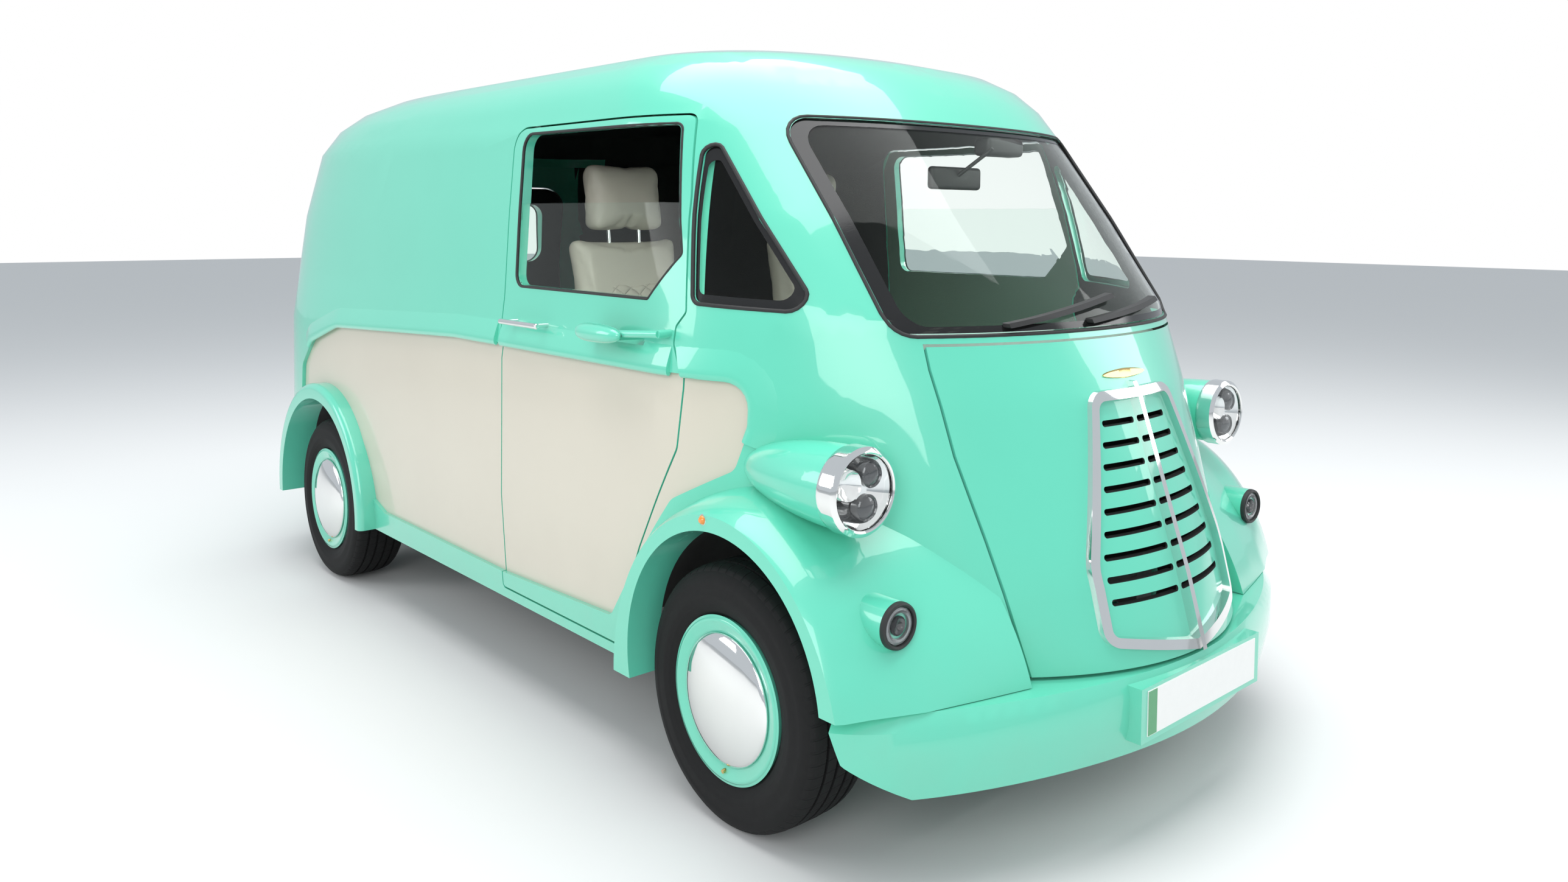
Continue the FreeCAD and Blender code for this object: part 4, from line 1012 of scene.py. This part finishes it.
def stuffed(name, outline, x0, x1, material, fill, cap=PUFF_LIMIT):
    """A cushion drawn out of its side outline and blown up like a stuffed cover."""
    mesh = bpy.data.meshes.new(name)
    mesh.from_pydata([(x0, y + OFFSET, z) for y, z in outline], [], [tuple(range(len(outline)))])
    piece = new_piece(name, mesh)
    bpy.ops.object.mode_set(mode="EDIT")
    bpy.ops.mesh.select_all(action="SELECT")
    bpy.ops.mesh.extrude_region_move(TRANSFORM_OT_translate={"value": (x1 - x0, 0, 0)})
    bpy.ops.mesh.select_all(action="SELECT")
    bpy.ops.mesh.normals_make_consistent(inside=False)
    bpy.ops.mesh.bevel(offset=CUSHION_ROUNDING, segments=3, affect="EDGES")
    bpy.ops.object.mode_set(mode="OBJECT")
    remesh = piece.modifiers.new("grid", "REMESH")
    remesh.mode = "VOXEL"
    remesh.voxel_size = GRID
    bpy.ops.object.modifier_apply(modifier="grid")
    before = [vertex.co.copy() for vertex in piece.data.vertices]
    cloth = piece.modifiers.new("stuffing", "CLOTH")
    cloth.settings.use_pressure = True
    cloth.settings.uniform_pressure_force = PRESSURE
    cloth.settings.effector_weights.gravity = 0
    cloth.settings.quality = 4
    for moment in range(1, PUFF_FRAMES + 1):
        bpy.context.scene.frame_set(moment)
    bpy.ops.object.modifier_apply(modifier="stuffing")
    limited(before, piece.data.vertices, cap)
    bpy.context.scene.frame_set(1)
    bpy.ops.object.modifier_add(type="SMOOTH")
    piece.modifiers[-1].iterations = 4
    bpy.ops.object.modifier_apply(modifier=piece.modifiers[-1].name)
    shown(piece, material, "van", 1.2)
    return piece


CUSHION = [(-0.628, 0.612), (-0.636, 0.756), (-0.600, 0.781), (-0.215, 0.764), (-0.175, 0.612)]
CUSHION_MIDDLE = [(-0.600, 0.700), (-0.606, 0.786), (-0.580, 0.797), (-0.250, 0.783), (-0.240, 0.700)]
BACKREST = [(-0.262, 0.775), (-0.168, 0.775), (-0.084, 1.300), (-0.062, 1.462), (-0.120, 1.478),
            (-0.160, 1.300)]
BACK_MIDDLE = [(-0.285, 0.840), (-0.220, 0.840), (-0.130, 1.330), (-0.172, 1.330)]
HEADREST = [(-0.158, 1.492), (-0.060, 1.488), (-0.040, 1.690), (-0.080, 1.726), (-0.130, 1.700)]
CUSHION_FILL = 0.8
PANEL_FILL = 0.9
SEAT_ACROSS = (0.648, 0.212)
PANEL_ACROSS = (0.560, 0.300)
HEADREST_ACROSS = (0.570, 0.290)
HEADREST_PUFF = 0.016
PANEL_PUFF = 0.010
POST_PLACES = (0.370, 0.490)
POST_FOOT = (-0.110 + OFFSET, 1.440)
POST_TOP = (-0.102 + OFFSET, 1.520)
POST_RADIUS = 0.006
PLINTH_ACROSS = (0.60, 0.26)
PLINTH_ROUNDING = 0.012
PLINTH_LOW = (-0.580 + OFFSET, 0.491)
PLINTH_HIGH = (-0.180 + OFFSET, 0.640)
for side, word in SIDES:
    seat, panel, rest, base = (sorted((side * out, side * into)) for out, into in (
        SEAT_ACROSS, PANEL_ACROSS, HEADREST_ACROSS, PLINTH_ACROSS))
    stuffed("seat_cushion_" + word, CUSHION, *seat, hide, CUSHION_FILL)
    stuffed("seat_back_" + word, BACKREST, *seat, hide, CUSHION_FILL)
    stuffed("headrest_" + word, HEADREST, *rest, hide, CUSHION_FILL, HEADREST_PUFF)
    for reach in POST_PLACES:
        post = [Vector((side * reach, *POST_FOOT)), Vector((side * reach, *POST_TOP))]
        tube("headrest_post_%s_%d" % (word, round(1000 * reach)), post, POST_RADIUS, chrome, "van",
             closed=False)
    stuffed("seat_panel_" + word, CUSHION_MIDDLE, *panel, quilted, PANEL_FILL, PANEL_PUFF)
    stuffed("back_panel_" + word, BACK_MIDDLE, *panel, quilted, PANEL_FILL, PANEL_PUFF)
    plinth = slab("seat_plinth_" + word, (base[0], *PLINTH_LOW), (base[1], *PLINTH_HIGH), PLINTH_ROUNDING,
                  satin_black, "van")
    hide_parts("seats")

# Inner mirror: a black rubber-edged head on a bent stalk from the top of the screen, with a moulded housing
# for the rain sensor stuck to the glass beside it.


def behind_screen(x, z, depth):
    """A point a little way inside the windscreen."""
    return screen_tree.ray_cast(Vector((x, INSIDE_CAB, z)), -REARWARDS)[0] + REARWARDS * depth


INSIDE_CAB = -0.9
MIRROR_HEAD = Vector((0.005, -1.300, 1.657))
MIRROR_HALF = Vector((0.112, 0.013, 0.034))
MIRROR_ROUNDING = 0.012
STALK_RADIUS = 0.006
mirror_foot = behind_screen(0.060, 1.745, 0.008)
mirror_bend = mirror_foot + Vector((-0.010, 0.025, -0.020))
tube("mirror_stalk", [mirror_foot, mirror_bend, MIRROR_HEAD], STALK_RADIUS, rubber_and_slot_shade, "van", closed=False)
slab("inner_mirror", MIRROR_HEAD - MIRROR_HALF, MIRROR_HEAD + MIRROR_HALF, MIRROR_ROUNDING, rubber_and_slot_shade,
     "van", 4)
SENSOR_ROUNDING = 0.014
SENSOR_LOW = Vector((-0.085, -0.030, -0.026))
SENSOR_HIGH = Vector((0.085, 0.035, 0.030))
sensor = behind_screen(0.150, 1.752, 0.046)
slab("sensor_housing", sensor + SENSOR_LOW, sensor + SENSOR_HIGH, SENSOR_ROUNDING, rubber_and_slot_shade, "van", 4)
